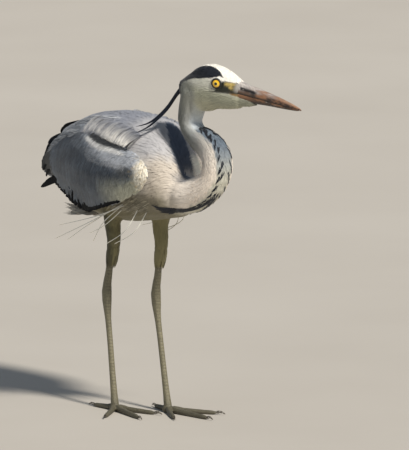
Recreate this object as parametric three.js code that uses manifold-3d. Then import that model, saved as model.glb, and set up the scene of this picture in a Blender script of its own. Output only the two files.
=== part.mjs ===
// A grey heron at life size, wading: the trunk level, the neck drawn into an S, the head turned a little
// to the bird's left, the left wing folded and the right one hanging a little loose.
// Millimetres. +X runs forward along the trunk, +Y to the bird's left and +Z up from the floor. Every
// sub-part is one closed solid, and neighbours stand a thin gap apart.
import * as THREE from "three";
import { mergeVertices } from "three/addons/utils/BufferGeometryUtils.js";
import Module from "manifold-3d";

const wasm = await Module();
wasm.setup();

// ---- Driving dimensions -----------------------------------------------------------------------------
const GAP = 0.35; // between neighbouring solids
const EYE_CENTRE = [195, 21, 457]; // the point midway between the eyes
const HEAD_YAW = THREE.MathUtils.degToRad(18); // the head turns to the bird's left
const HEAD_DIP = THREE.MathUtils.degToRad(8); // and the bill points a little down
const EYE_RADIUS = 9;
const EYE_OFFSET = 10.6; // from the head's middle plane to the centre of an eyeball
const BILL_ROOT = 34; // forward of the eyes
const SOLE = 0; // the level of the floor

// Rings along each kind of body, and the sides of a ring.
const DETAIL = {
  trunk: [18, 18],
  neck: [24, 14],
  head: [13, 17],
  bill: [10, 12],
  eye: [12, 8],
  wing: [15, 14],
  blade: [12, 8],
  tail: [10, 14],
  thigh: [11, 12],
  leg: [18, 8],
  toe: [9, 6],
  claw: [4, 5],
  plume: [10, 5],
};

const vec = (x, y, z) => new THREE.Vector3(x, y, z);

// ---- Shape helpers ----------------------------------------------------------------------------------
// Rows of [t, a, b, ...] in rising or falling t become a function of t that runs smoothly through every row.
function profile(rows) {
  const slope = (i, k) => {
    const a = rows[Math.max(i - 1, 0)];
    const b = rows[Math.min(i + 1, rows.length - 1)];
    return (b[k] - a[k]) / (b[0] - a[0]);
  };
  const rising = rows[rows.length - 1][0] > rows[0][0];
  return (t) => {
    let i = 0;
    while (i < rows.length - 2 && (rising ? t > rows[i + 1][0] : t < rows[i + 1][0])) i++;
    const span = rows[i + 1][0] - rows[i][0];
    const s = (t - rows[i][0]) / span;
    const s2 = s * s;
    const s3 = s2 * s;
    return rows[i].slice(1).map((value, k) =>
      value * (2 * s3 - 3 * s2 + 1) +
      slope(i, k + 1) * span * (s3 - 2 * s2 + s) +
      rows[i + 1][k + 1] * (3 * s2 - 2 * s3) +
      slope(i + 1, k + 1) * span * (s3 - s2));
  };
}

// Stations from a to b, closer together towards both ends so that a body closes roundly.
function stations(a, b, count) {
  return Array.from({ length: count }, (_, i) => a + (b - a) * (1 - Math.cos((Math.PI * i) / (count - 1))) / 2);
}

function evenStations(a, b, count) {
  return Array.from({ length: count }, (_, i) => a + ((b - a) * i) / (count - 1));
}

// A closed body through rings of points, each end closed to its middle.
function loft(rings) {
  const sides = rings[0].length;
  const points = rings.flat();
  const middle = (ring) => ring.reduce((sum, p) => sum.add(p), vec(0, 0, 0)).divideScalar(sides);
  points.push(middle(rings[0]), middle(rings[rings.length - 1]));
  const faces = [];
  const last = (rings.length - 1) * sides;
  for (let i = 0; i < sides; i++) {
    const j = (i + 1) % sides;
    for (let r = 0; r < last; r += sides) {
      faces.push(r + i, r + j, r + sides + j, r + i, r + sides + j, r + sides + i);
    }
    faces.push(points.length - 2, j, i, points.length - 1, last + i, last + j);
  }
  return new THREE.BufferGeometry().setFromPoints(points).setIndex(faces);
}

// One ring: an oval of half width w, reaching u up and d down, squarer as power rises above 2.
function oval(centre, side, up, w, u, d, sides, power = 2) {
  return Array.from({ length: sides }, (_, i) => {
    const angle = (2 * Math.PI * i) / sides;
    const c = Math.cos(angle);
    const s = Math.sin(angle);
    const across = w * Math.sign(c) * Math.abs(c) ** (2 / power);
    const tall = (s > 0 ? u : d) * Math.sign(s) * Math.abs(s) ** (2 / power);
    return centre.clone().addScaledVector(side, across).addScaledVector(up, tall);
  });
}

// A closed geometry as a manifold solid, turned to face outwards if its rings ran the other way.
function solid(geometry) {
  const bare = geometry.clone();
  bare.deleteAttribute("normal");
  bare.deleteAttribute("uv");
  const merged = mergeVertices(bare, 1e-4);
  const faces = [];
  const index = merged.index.array;
  for (let i = 0; i < index.length; i += 3) {
    const [a, b, c] = index.slice(i, i + 3);
    if (a !== b && b !== c && a !== c) faces.push(a, b, c);
  }
  const position = merged.attributes.position.array;
  const corner = (k) => vec(...position.slice(3 * k, 3 * k + 3));
  let volume = 0;
  for (let i = 0; i < faces.length; i += 3) {
    volume += corner(faces[i]).dot(corner(faces[i + 1]).cross(corner(faces[i + 2])));
  }
  const triVerts = new Uint32Array(volume < 0 ? faces.reverse() : faces);
  return new wasm.Manifold(new wasm.Mesh({ numProp: 3, vertProperties: new Float32Array(position), triVerts }));
}

// Cuts can leave crumbs: only the largest bodies are kept.
function largestOf(body, tools, count) {
  const left = tools.reduce((rest, tool) => rest.subtract(tool), body);
  return left.decompose().sort((a, b) => b.volume() - a.volume()).slice(0, count);
}

function cut(body, ...tools) {
  return largestOf(body, tools, 1)[0];
}

const height = (body) => body.boundingBox().max[2];

// A slab that splits a body across a plane, GAP thick.
function slab(point, normal, size) {
  const box = new THREE.BoxGeometry(size, size, GAP);
  box.applyQuaternion(new THREE.Quaternion().setFromUnitVectors(vec(0, 0, 1), normal.clone().normalize()));
  return solid(box.translate(point.x, point.y, point.z));
}

function curveThrough(points) {
  return new THREE.CatmullRomCurve3(points.map((p) => vec(...p)), false, "centripetal");
}

// The rings of a tube along a list of points. Rows of [share of length, half width, half depth], and grow
// is added to both. The width lies along side, and no ring goes below floor.
function tube(points, rows, [rings, sides], { grow = 0, side = vec(0, 1, 0), floor = null } = {}) {
  const curve = curveThrough(points);
  const at = profile(rows);
  return evenStations(0, 1, rings).map((t) => {
    const along = curve.getTangentAt(t);
    const across = side.clone().addScaledVector(along, -side.dot(along)).normalize();
    const up = along.clone().cross(across).normalize();
    const [w, h] = at(t).map((radius) => radius + grow);
    const ring = oval(curve.getPointAt(t), across, up, w, h, h, sides);
    if (floor !== null) ring.forEach((p) => (p.z = Math.max(p.z, floor)));
    return ring;
  });
}

// ---- Trunk ------------------------------------------------------------------------------------------
// Rows of [x, top, bottom, half width]: the back is long and level, the keel deepest between the legs.
const trunkAt = profile([
  [-188, 347, 339, 5],
  [-176, 357, 322, 14],
  [-152, 366, 283, 24],
  [-120, 377, 258, 37],
  [-85, 387.5, 252, 47],
  [-45, 394.5, 251, 54],
  [-5, 397, 251, 58],
  [38, 396, 256, 60],
  [72, 389, 262, 56],
  [100, 372, 267, 46],
  [122, 348, 272, 33],
  [135, 324, 281, 18],
  [141, 306, 294, 8],
]);
const TRUNK_ENDS = [-188, 141];
const TRUNK_WIDEST = 0.52; // share of the height at which the trunk is widest
const TRUNK_POWER = 2.25;

function trunkLoft(grow = 0) {
  const [rings, sides] = DETAIL.trunk;
  return solid(loft(stations(...TRUNK_ENDS, rings).map((x) => {
    const [top, bottom, w] = trunkAt(x);
    const widest = bottom + (top - bottom) * TRUNK_WIDEST;
    return oval(vec(x, 0, widest), vec(0, 1, 0), vec(0, 0, 1),
      w + grow, top - widest + grow, widest - bottom + grow, sides, TRUNK_POWER);
  })));
}

// ---- Neck -------------------------------------------------------------------------------------------
// The neck leaves the breast forwards, turns up and back over itself and rises to the head.
const NECK_LINE = [
  [96, 0, 312], [134, 1, 302], [166, 7, 311], [189, 12, 331], [192, 13, 355],
  [174, 11, 371], [148, 8, 381.5], [134, 6, 398], [139, 6, 417], [149, 7, 442],
];
const NECK_ROWS = [
  [0, 26, 28], [0.12, 25, 27], [0.25, 22, 22], [0.4, 19, 20], [0.52, 19.5, 22],
  [0.64, 17, 19], [0.76, 15, 15.4], [0.88, 17.5, 17.5], [1, 19.5, 19.5],
];
const NECK_SIDE = vec(-0.12, 1, 0);
const NECK_JOINS = [0.46, 0.72]; // shares of the length at which the neck is parted
const NECK_SLAB = 62;

function neckLoft(grow = 0) {
  return solid(loft(tube(NECK_LINE, NECK_ROWS, DETAIL.neck, { grow, side: NECK_SIDE })));
}

// ---- Head and bill, in a frame of their own: x forward, y left, z up from between the eyes ----
const headFrame = new THREE.Matrix4()
  .makeTranslation(...EYE_CENTRE)
  .multiply(new THREE.Matrix4().makeRotationZ(HEAD_YAW))
  .multiply(new THREE.Matrix4().makeRotationY(HEAD_DIP));
const headPoint = (x, y, z) => vec(x, y, z).applyMatrix4(headFrame);

// Rows of [x, top, bottom, half width].
const headAt = profile([
  [-72, -14, -26, 5],
  [-64, -8, -37, 11.5],
  [-53, 1.5, -45, 15.5],
  [-38, 12, -47.5, 18.5],
  [-20, 18.5, -44.5, 19.5],
  [-5, 19, -37, 18.3],
  [10, 16, -34, 16],
  [24, 11, -30.5, 13],
  [BILL_ROOT, 7.5, -27.5, 10.6],
]);
const UPPER_BILL = [
  [20, 10, -7, 10], [BILL_ROOT, 7, -6.5, 9.4], [62, 5.4, -6, 7.6], [98, 2, -6, 5.2], [127, -2.2, -6.4, 2.6],
  [138, -5, -7, 0.7],
];
const LOWER_BILL = [
  [20, -9, -29, 10], [BILL_ROOT, -7.5, -26, 9.2], [62, -6.6, -18.5, 7.2], [98, -6.6, -13.8, 4.8],
  [125, -7, -10.2, 2.2], [134, -7.4, -8.6, 0.6],
];
const HEAD_REAR = -72;
const HEAD_POWER = 2.2;
const LEAST_BILL = 0.15; // the bill's two halves close to this at the tip

function headLoft(grow = 0) {
  const [rings, sides] = DETAIL.head;
  const shape = loft(stations(HEAD_REAR, BILL_ROOT, rings).map((x) => {
    const [top, bottom, w] = headAt(x);
    const widest = top - (top - bottom) * 0.45;
    return oval(vec(x + (x > 0 ? grow : 0), 0, widest), vec(0, 1, 0), vec(0, 0, 1),
      w + grow, top - widest + grow, widest - bottom + grow, sides, HEAD_POWER);
  }));
  return solid(shape.applyMatrix4(headFrame));
}

// Each half of the bill is round outside and flat where the halves meet.
function billLoft(rows) {
  const [rings, sides] = DETAIL.bill;
  const at = profile(rows);
  return solid(loft(evenStations(rows[0][0], rows[rows.length - 1][0], rings).map((x) => {
    const [top, bottom, w] = at(x);
    const flat = rows === UPPER_BILL ? bottom : top;
    return oval(vec(x, 0, flat), vec(0, 1, 0), vec(0, 0, 1),
      w, Math.max(top - flat, LEAST_BILL), Math.max(flat - bottom, LEAST_BILL), sides);
  })).applyMatrix4(headFrame));
}

function eyeball(sign, grow = 0) {
  const ball = new THREE.SphereGeometry(EYE_RADIUS + grow, ...DETAIL.eye);
  const centre = headPoint(0, sign * EYE_OFFSET, 0);
  return solid(ball.translate(centre.x, centre.y, centre.z));
}

// ---- Wings ------------------------------------------------------------------------------------------
// A wing is a bowed plate on the trunk's side. Rows of [x, top, bottom, outer y, half thickness, bow].
const RIGHT_WING = [
  [142, 338, 331, 66, 2.5, 0],
  [136, 347, 322, 71, 6, 2],
  [120, 357, 308, 77, 9, 6],
  [90, 362, 295, 81, 11, 9],
  [50, 364, 283, 81, 12, 11],
  [5, 370, 272, 77, 12, 13],
  [-35, 376, 269, 70, 11, 14],
  [-80, 376, 272, 59, 9, 13],
  [-125, 363, 280, 47, 7, 10],
  [-165, 346, 289, 37, 4.5, 7],
  [-194, 326, 294, 29, 2.5, 3],
  [-205, 311, 298, 27, 1, 0],
];
const LEFT_WING = [
  [116, 348, 338, 55, 3, 0],
  [110, 357, 326, 60, 8, 2],
  [92, 364, 305, 66, 10, 6],
  [60, 372, 286, 70, 11, 10],
  [20, 379, 275, 71, 12, 13],
  [-25, 384, 270, 67, 12, 14],
  [-70, 386, 276, 59, 10, 12],
  [-115, 381, 289, 48, 8, 10],
  [-160, 370, 305, 38, 5, 7],
  [-205, 356, 321, 30, 3, 4],
  [-232, 345, 331, 26, 1, 0],
];
const RIGHT_PRIMARIES = [
  [94, 307, 298, 60, 3, 0],
  [60, 299, 284, 62, 4, 2],
  [5, 289, 266, 58, 4, 2],
  [-50, 287, 263.5, 51, 4, 2],
  [-110, 293, 268, 41, 3, 2],
  [-170, 297, 279, 29, 2, 1],
  [-204, 286, 275, 21, 1.3, 0],
  [-224, 276, 271.5, 17, 0.8, 0],
];
const LEFT_PRIMARIES = [
  [82, 302, 290, 54, 3, 0],
  [40, 292, 270, 56, 4, 2],
  [-15, 287, 264, 52, 4, 2],
  [-70, 294, 271, 44, 4, 2],
  [-130, 312, 286, 35, 3, 2],
  [-190, 334, 313, 28, 2, 1],
  [-224, 343, 329, 25, 1.3, 0],
  [-241, 342.5, 338, 23, 0.8, 0],
];

function bowedPlate(rows, side, [rings, sides], grow = 0) {
  const at = profile(rows);
  return solid(loft(stations(rows[0][0], rows[rows.length - 1][0], rings).map((x) => {
    const [top, bottom, outer, thick, bow] = at(x);
    const half = (top - bottom) / 2 + grow;
    return Array.from({ length: sides }, (_, i) => {
      const angle = (2 * Math.PI * i) / sides;
      const s = Math.sin(angle);
      const out = outer + grow - bow * s * s - (thick + grow) * (1 - Math.cos(angle));
      return vec(x, side * out, (top + bottom) / 2 + half * s);
    });
  })));
}

// ---- Tail -------------------------------------------------------------------------------------------
// Rows of [share of length, half width, half thickness].
const TAIL_LINE = [[-120, 0, 310], [-155, 1, 300], [-190, 3, 287], [-226, 6, 275]];
const TAIL_ROWS = [[0, 17, 15], [0.3, 21, 10], [0.6, 21, 5], [0.85, 21, 2.6], [0.95, 18, 1.8], [1, 9, 1.2]];

// ---- Legs, each bending back from the foot to the heel and forward again to the trunk ----
const LEGS = [
  {
    name: "right",
    side: -1,
    foot: [-8, -27],
    heel: [-31, -26, 157],
    shin: [-12, -26, 224],
    thigh: [-8, -28, 290],
  },
  {
    name: "left",
    side: 1,
    foot: [40, 26],
    heel: [12, 24, 156],
    shin: [27, 24, 223],
    thigh: [34, 26, 290],
  },
];
const ANKLE_HEIGHT = 9;
const HEEL_HALF = 11; // from the middle of the heel joint up to the shin
const HEEL_SLAB = 40;
const THIGH_ROWS = [
  [0, 17, 22], [0.22, 15, 18], [0.45, 11.2, 12.2], [0.75, 9, 9.4], [0.93, 7.8, 8.2], [1, 6, 6.4],
];

function thighLoft({ thigh, shin }, grow = 0) {
  const line = [thigh, [shin[0] - 3, shin[1], 252], shin, [shin[0] - 5, shin[1], shin[2] - 18]];
  return solid(loft(tube(line, THIGH_ROWS, DETAIL.thigh, { grow })));
}

// The middle toe comes first, as its neighbours are cut to it. Rows of [name, heading outwards from
// straight ahead in degrees, length, radius at the root].
const TOES = [
  ["middle", 8, 84, 4.6],
  ["inner", -23, 66, 4.3],
  ["outer", 40, 68, 4.2],
  ["hind", 172, 44, 4.2],
];
const CLAW_LENGTH = 13;
const CLAW_ROWS = [[0, 1.9, 2.3], [0.5, 1.4, 1.8], [1, 0.3, 0.35]];

// The bare leg, from inside the feathers down to the toes' common knuckle. Rows of [share of length, half
// width, half depth].
const LEG_ROWS = [
  [0, 4.6, 4.8], [0.12, 4.6, 4.9], [0.26, 5.6, 7], [0.31, 6.4, 8.4], [0.37, 5.6, 7.4], [0.46, 4.1, 5],
  [0.75, 4, 4.6], [0.93, 4.6, 5.2], [1, 5.6, 6],
];

function legLoft(foot, heel, shin) {
  return solid(loft(tube([
    [shin[0] - 5, shin[1], shin[2] - 8],
    [heel[0] + 5, heel[1], heel[2] + 22],
    heel,
    [(heel[0] + foot[0]) / 2, (heel[1] + foot[1]) / 2, heel[2] / 2],
    [foot[0], foot[1], ANKLE_HEIGHT],
  ], LEG_ROWS, DETAIL.leg)));
}

const KNUCKLE_RADII = [7.4, 8.6, 8.2, 5.5];
const KNUCKLE_WIDTH = 0.85; // of its length
const KNUCKLE_STEP = 3.1;
const KNUCKLE_SIDES = 10;

function knuckleLoft(foot, grow) {
  return solid(loft(KNUCKLE_RADII.map((radius, i) => {
    const level = SOLE + i * KNUCKLE_STEP + grow * (i ? 1 : -1);
    return oval(vec(foot[0], foot[1], level), vec(0, 1, 0), vec(1, 0, 0),
      radius * KNUCKLE_WIDTH + grow, radius + grow, radius + grow, KNUCKLE_SIDES);
  })));
}

// A line out along a toe's heading, for points at a distance and a height.
function toeLine(foot, side, heading) {
  const angle = THREE.MathUtils.degToRad(heading) * side;
  const out = (distance, z) => [foot[0] + distance * Math.cos(angle), foot[1] + distance * Math.sin(angle), z];
  return { out, across: vec(-Math.sin(angle), Math.cos(angle), 0) };
}

// A toe swells at each of its joints and rests on flats on the floor.
function toeLoft(foot, side, [, heading, length, radius], grow = 0) {
  const { out, across } = toeLine(foot, side, heading);
  const joints = [0, 0.16, 0.3, 0.42, 0.56, 0.68, 0.8, 0.92, 1];
  const rows = joints.map((t, i) => {
    const r = radius * (1 - 0.32 * t) * (i % 2 ? 1.08 : 0.9) * (i === joints.length - 1 ? 0.7 : 1);
    return [t, r, r];
  });
  const line = [out(7, 5.5), out(length * 0.3, 3.7), out(length * 0.65, 3.1), out(length, 2.7)];
  return solid(loft(tube(line, rows, DETAIL.toe, { grow, side: across, floor: SOLE - grow })));
}

function clawLoft(foot, side, [, heading, length]) {
  const { out, across } = toeLine(foot, side, heading);
  const line = [out(length + GAP, 3), out(length + CLAW_LENGTH * 0.5, 4.2), out(length + CLAW_LENGTH, 1.2)];
  return solid(loft(tube(line, CLAW_ROWS, DETAIL.claw, { side: across, floor: SOLE + 0.2 })));
}

// ---- Crest plumes -----------------------------------------------------------------------------------
const PLUMES = [
  ["crest_plume_upper", [[133, 3, 452], [120, -3, 439], [104, -12, 415], [86, -26, 395], [71, -41, 387.5]]],
  ["crest_plume_lower", [[132, 1, 446], [119, -5, 434], [104, -15, 410], [90, -31, 390], [79, -45, 380.5]]],
];
const PLUME_SIDE = vec(0.5, 1, 0.4);
const PLUME_ROWS = [[0, 2.4, 1.5], [0.3, 2.2, 1.2], [0.7, 1.7, 0.8], [1, 0.5, 0.4]];

function plumeLoft(line, grow = 0) {
  return solid(loft(tube(line, PLUME_ROWS, DETAIL.plume, { grow, side: PLUME_SIDE })));
}

// ---- Materials --------------------------------------------------------------------------------------
const finish = (color, roughness) => new THREE.MeshStandardMaterial({ color, roughness, metalness: 0 });
const MATERIALS = {
  white_plumage: finish("#e6e3da", 0.9),
  neck_plumage: finish("#d3d0cc", 0.9),
  grey_plumage: finish("#9fa4ad", 0.85),
  wing_plumage: finish("#7d8792", 0.8),
  dark_plumage: finish("#20242c", 0.75),
  bill: finish("#a9743f", 0.45),
  eye: finish("#e0b423", 0.1),
  leg: finish("#7d7a58", 0.6),
  claw: finish("#2b2723", 0.5),
};

// ---- Assembly ---------------------------------------------------------------------------------------
const bodies = new Map(); // node name -> [solid, material]
const add = (name, body, material) => bodies.set(name, [body, material]);

const trunk = trunkLoft();
const grownTrunk = trunkLoft(GAP);
const head = headLoft();
const grownHead = headLoft(GAP);
const neck = neckLoft();
const grownNeck = neckLoft(GAP);


const thighs = LEGS.map((leg) => thighLoft(leg));
const grownThighs = LEGS.map((leg) => thighLoft(leg, GAP));

add("trunk", cut(trunk, ...grownThighs), "white_plumage");
add("head", cut(head, eyeball(1, GAP), eyeball(-1, GAP)), "white_plumage");
add("bill_upper", cut(billLoft(UPPER_BILL), grownHead), "bill");
add("bill_lower", cut(billLoft(LOWER_BILL), grownHead), "bill");
add("eye_left", eyeball(1), "eye");
add("eye_right", eyeball(-1), "eye");

// The neck is cut from the trunk and head, then across its line into three lengths.
const NECK_NAMES = ["neck_lower", "neck_middle", "neck_upper"];
const neckCurve = curveThrough(NECK_LINE);
const neckSlabs = NECK_JOINS.map((t) => slab(neckCurve.getPointAt(t), neckCurve.getTangentAt(t), NECK_SLAB));
largestOf(neck, [grownTrunk, grownHead, ...neckSlabs], NECK_NAMES.length)
  .sort((a, b) => height(a) - height(b))
  .forEach((length, i) => add(NECK_NAMES[i], length, "neck_plumage"));

const wings = [
  ["right", -1, RIGHT_WING, RIGHT_PRIMARIES],
  ["left", 1, LEFT_WING, LEFT_PRIMARIES],
];
for (const [name, side, rows, primaries] of wings) {
  const wing = bowedPlate(rows, side, DETAIL.wing);
  const blade = bowedPlate(primaries, side, DETAIL.blade);
  const grownBlade = bowedPlate(primaries, side, DETAIL.blade, GAP);
  add(`wing_${name}`, cut(wing, grownTrunk, grownBlade, grownNeck), "wing_plumage");
  add(`primaries_${name}`, cut(blade, grownTrunk), "dark_plumage");
}
add("tail", cut(solid(loft(tube(TAIL_LINE, TAIL_ROWS, DETAIL.tail))), grownTrunk), "grey_plumage");

LEGS.forEach(({ name, side, foot, heel, shin }, i) => {
  add(`thigh_${name}`, thighs[i], "white_plumage");
  const [knuckle, grownKnuckle] = [0, GAP].map((grow) => knuckleLoft(foot, grow));
  const split = slab(vec(heel[0], heel[1], heel[2] + HEEL_HALF), vec(0, 0, 1), HEEL_SLAB);
  const [tarsus, shinBone] = largestOf(legLoft(foot, heel, shin), [grownThighs[i], grownKnuckle, split], 2)
    .sort((a, b) => height(a) - height(b));
  add(`shin_${name}`, shinBone, "leg");
  add(`tarsus_${name}`, tarsus, "leg");
  add(`foot_${name}`, knuckle, "leg");
  const grownMiddle = toeLoft(foot, side, TOES[0], GAP);
  TOES.forEach((row, k) => {
    const neighbours = k ? [grownKnuckle, grownMiddle] : [grownKnuckle];
    add(`toe_${name}_${row[0]}`, cut(toeLoft(foot, side, row), ...neighbours), "leg");
    add(`claw_${name}_${row[0]}`, clawLoft(foot, side, row), "claw");
  });
});
const [upperPlume, lowerPlume] = PLUMES.map(([, line]) => plumeLoft(line));
add(PLUMES[0][0], cut(upperPlume, grownHead, grownNeck), "dark_plumage");
add(PLUMES[1][0], cut(lowerPlume, grownHead, grownNeck, plumeLoft(PLUMES[0][1], GAP)), "dark_plumage");

// ---- The group, its origin on the floor under the middle of the bird's outline ----
const heron = new THREE.Group();
for (const [name, [body, material]] of bodies) {
  const { vertProperties, triVerts, numProp } = body.getMesh();
  const geometry = new THREE.BufferGeometry();
  const places = new Float32Array((vertProperties.length / numProp) * 3);
  for (let i = 0; i < places.length / 3; i++) {
    places.set(vertProperties.subarray(i * numProp, i * numProp + 3), i * 3);
  }
  geometry.setAttribute("position", new THREE.BufferAttribute(places, 3));
  geometry.setIndex(new THREE.BufferAttribute(triVerts, 1));
  const mesh = new THREE.Mesh(geometry, MATERIALS[material]);
  mesh.name = name;
  heron.add(mesh);
}
const outline = new THREE.Box3().setFromObject(heron);
const middle = outline.getCenter(vec(0, 0, 0));
heron.position.set(-middle.x, -middle.y, -outline.min.z);
export default heron;
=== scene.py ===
"""A grey heron's skin, coat of feathers, bill, eyes and legs, and the studio it stands in."""

import functools
import math

import bmesh
import bpy
import numpy as np
from bpy.props import FloatProperty, FloatVectorProperty, PointerProperty
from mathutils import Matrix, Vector
from mathutils.bvhtree import BVHTree


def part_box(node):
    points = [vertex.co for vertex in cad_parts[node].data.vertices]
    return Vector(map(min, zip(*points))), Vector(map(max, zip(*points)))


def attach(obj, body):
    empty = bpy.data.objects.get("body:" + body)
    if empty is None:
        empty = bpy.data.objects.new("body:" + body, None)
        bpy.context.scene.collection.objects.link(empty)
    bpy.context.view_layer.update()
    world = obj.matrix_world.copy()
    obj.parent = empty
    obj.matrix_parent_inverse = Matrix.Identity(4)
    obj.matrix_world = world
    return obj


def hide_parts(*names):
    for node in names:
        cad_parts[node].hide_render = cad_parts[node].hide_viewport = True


bl_info = {
    "name": "Grey heron",
    "version": (1, 0, 0),
    "blender": (4, 5, 0),
    "location": "View3D > Sidebar > Heron",
    "description": "Skin, coat of feathers, bill, eyes and legs for a still wading heron",
    "category": "Object",
}

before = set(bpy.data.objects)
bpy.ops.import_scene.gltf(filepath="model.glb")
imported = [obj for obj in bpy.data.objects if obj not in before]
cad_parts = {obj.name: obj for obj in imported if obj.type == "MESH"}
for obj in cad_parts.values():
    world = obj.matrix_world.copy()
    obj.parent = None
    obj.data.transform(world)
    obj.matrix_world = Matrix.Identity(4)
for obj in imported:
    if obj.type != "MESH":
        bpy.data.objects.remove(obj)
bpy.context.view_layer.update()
BODY = "root"
MM = 0.001
TAU = 2 * math.pi
SIGN = {"right": -1.0, "left": 1.0}
SIDES = tuple(SIGN.items())


# ---- Places: millimetres forward, left and up from the floor between the feet
def middle_of(node):
    low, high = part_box(node)
    return np.array((low + high) / 2)


RIGHT_FOOT_AT = np.array([-8.0, -27.0, 0.0])
ORIGIN = middle_of("foot_right") * [1, 1, 0] - RIGHT_FOOT_AT * MM


def to_metres(points):
    return np.asarray(points, float) * MM + ORIGIN


def to_mm(points):
    return (np.asarray(points, float) - ORIGIN) / MM


EYES = {side: to_mm(middle_of("eye_" + side)) for side in SIGN}
HEAD_CENTRE = (EYES["right"] + EYES["left"]) / 2
EYE_OFFSET = float(np.linalg.norm(EYES["left"] - EYES["right"]) / 2)
EYE_RADIUS = float(np.ptp([corner[2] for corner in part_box("eye_left")]) / 2 / MM)
HEAD_DIP = math.radians(8)
HEAD_LEFT = (EYES["left"] - EYES["right"]) / (2 * EYE_OFFSET)
HEAD_LEVEL = np.array([HEAD_LEFT[1], -HEAD_LEFT[0], 0.0])
HEAD_FRONT = HEAD_LEVEL * math.cos(HEAD_DIP) + np.array([0, 0, -math.sin(HEAD_DIP)])
HEAD_UP = HEAD_LEVEL * math.sin(HEAD_DIP) + np.array([0, 0, math.cos(HEAD_DIP)])
HEAD_AXES = np.array([HEAD_FRONT, HEAD_LEFT, HEAD_UP])


def head_coords(points):
    """Forward, left and up from between the eyes, in the head's own frame."""
    return (np.asarray(points, float) - HEAD_CENTRE) @ HEAD_AXES.T


def from_head(points):
    return np.asarray(points, float) @ HEAD_AXES + HEAD_CENTRE


# ---- Small sums
def rgb(code):
    """A linear colour from a two-digit-a-channel code."""
    parts = [int(code[i:i + 2], 16) / 255 for i in (1, 3, 5)]
    return np.array([c / 12.92 if c <= 0.04045 else ((c + 0.055) / 1.055) ** 2.4 for c in parts])


def columns(*parts):
    """Rows of places from their coordinates, each an array or one number for all."""
    return np.stack(np.broadcast_arrays(*parts), axis=-1)


def eased(a, b, share):
    return a * (1 - share) + b * share


def line_at(line, x):
    """A line of (x, value) pairs read at x."""
    return np.interp(x, *np.array(line, float).T)


def unit(v):
    return v / np.maximum(np.linalg.norm(v, axis=-1, keepdims=True), 1e-9)


def step(low, high, x):
    """Rises smoothly from 0 at low to 1 at high."""
    t = np.clip((x - low) / (high - low), 0, 1)
    return t * t * (3 - 2 * t)


def band(x, low, high, soft):
    return step(low - soft, low + soft, x) * (1 - step(high - soft, high + soft, x))


def mix(a, b, share):
    return eased(a, b, np.asarray(share)[..., None])


def painted(base, *layers, palette=None):
    """A base colour with others of a palette over it, each as (name, share)."""
    palette = palette or PLUMAGE
    colour = palette[base] if isinstance(base, str) else base
    for name, share in layers:
        colour = mix(colour, palette[name], share)
    return colour


def dot(a, b):
    return np.sum(a * b, axis=-1)


def waves(points, scale, seed):
    """Smooth noise in about -1..1, from a few crossed waves."""
    rng = np.random.default_rng(seed)
    total = np.zeros(len(points))
    for octave in range(5):
        direction = unit(rng.normal(size=3)) * (TAU / scale) * (1 + 0.55 * octave)
        total += np.sin(points @ direction + rng.uniform(0, TAU)) / (1 + 0.35 * octave)
    return total / 2.4


def curve_points(points, count):
    """Points evenly spaced along a smooth line through the given ones."""
    p = np.asarray(points, float)
    p = np.vstack([2 * p[0] - p[1], p, 2 * p[-1] - p[-2]])
    fine = []
    for i in range(1, len(p) - 2):
        for t in np.linspace(0, 1, 40, endpoint=False):
            a, b, c, d = p[i - 1], p[i], p[i + 1], p[i + 2]
            fine.append(0.5 * (2 * b + (c - a) * t + (2 * a - 5 * b + 4 * c - d) * t * t
                               + (3 * b - a - 3 * c + d) * t ** 3))
    fine = np.array(fine + [p[-2]])
    run = np.concatenate([[0], np.cumsum(np.linalg.norm(np.diff(fine, axis=0), axis=1))])
    even = np.linspace(0, run[-1], count)
    return np.stack([np.interp(even, run, fine[:, k]) for k in range(3)], axis=1)


# ---- Surfaces
def linked(name, data):
    thing = bpy.data.objects.new(name, data)
    bpy.context.scene.collection.objects.link(thing)
    return thing


def remeshed(mesh, voxel_mm):
    """The voxel remesh of a mesh, as vertices in millimetres and quads."""
    thing = linked("temporary", mesh)
    remesh = thing.modifiers.new("remesh", "REMESH")
    remesh.mode = "VOXEL"
    remesh.voxel_size = voxel_mm * MM
    evaluated = thing.evaluated_get(bpy.context.evaluated_depsgraph_get())
    made = bpy.data.meshes.new_from_object(evaluated)
    points = np.zeros(len(made.vertices) * 3)
    made.vertices.foreach_get("co", points)
    corners = np.zeros(len(made.loops), int)
    made.loops.foreach_get("vertex_index", corners)
    bpy.data.objects.remove(thing)
    bpy.data.meshes.remove(made)
    bpy.data.meshes.remove(mesh)
    return to_mm(points.reshape(-1, 3)), corners.reshape(-1, 4)


def joined_nodes(names):
    parts = bmesh.new()
    for name in names:
        parts.from_mesh(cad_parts[name].data)
    mesh = bpy.data.meshes.new("joined")
    parts.to_mesh(mesh)
    parts.free()
    return mesh


def tree_of(mesh):
    """A search tree of a mesh's faces, in millimetres."""
    points = to_mm(np.array([v.co[:] for v in mesh.vertices]))
    return BVHTree.FromPolygons(points.tolist(), [face.vertices[:] for face in mesh.polygons])


def quad_edges(quads):
    pairs = np.vstack([quads[:, [i, (i + 1) % quads.shape[1]]] for i in range(quads.shape[1])])
    return np.unique(np.sort(pairs, axis=1), axis=0)


def neighbour_mean(values, edges, count):
    total = np.zeros_like(values)
    np.add.at(total, edges[:, 0], values[edges[:, 1]])
    np.add.at(total, edges[:, 1], values[edges[:, 0]])
    return total / count[:, None]


def smoothed(values, edges, rounds, ebb=0.0):
    """Evens values out between neighbours. With ebb, each round gives back what it shrank."""
    count = np.bincount(edges.ravel(), minlength=len(values)).astype(float)
    for _ in range(rounds):
        values = values + 0.5 * (neighbour_mean(values, edges, count) - values)
        if ebb:
            values = values - ebb * (neighbour_mean(values, edges, count) - values)
    return values


CROWD = 3.0  # tries for each place wanted in a scatter
CLOSEST = 0.62  # square of the nearest that two places may come, in gaps


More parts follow.
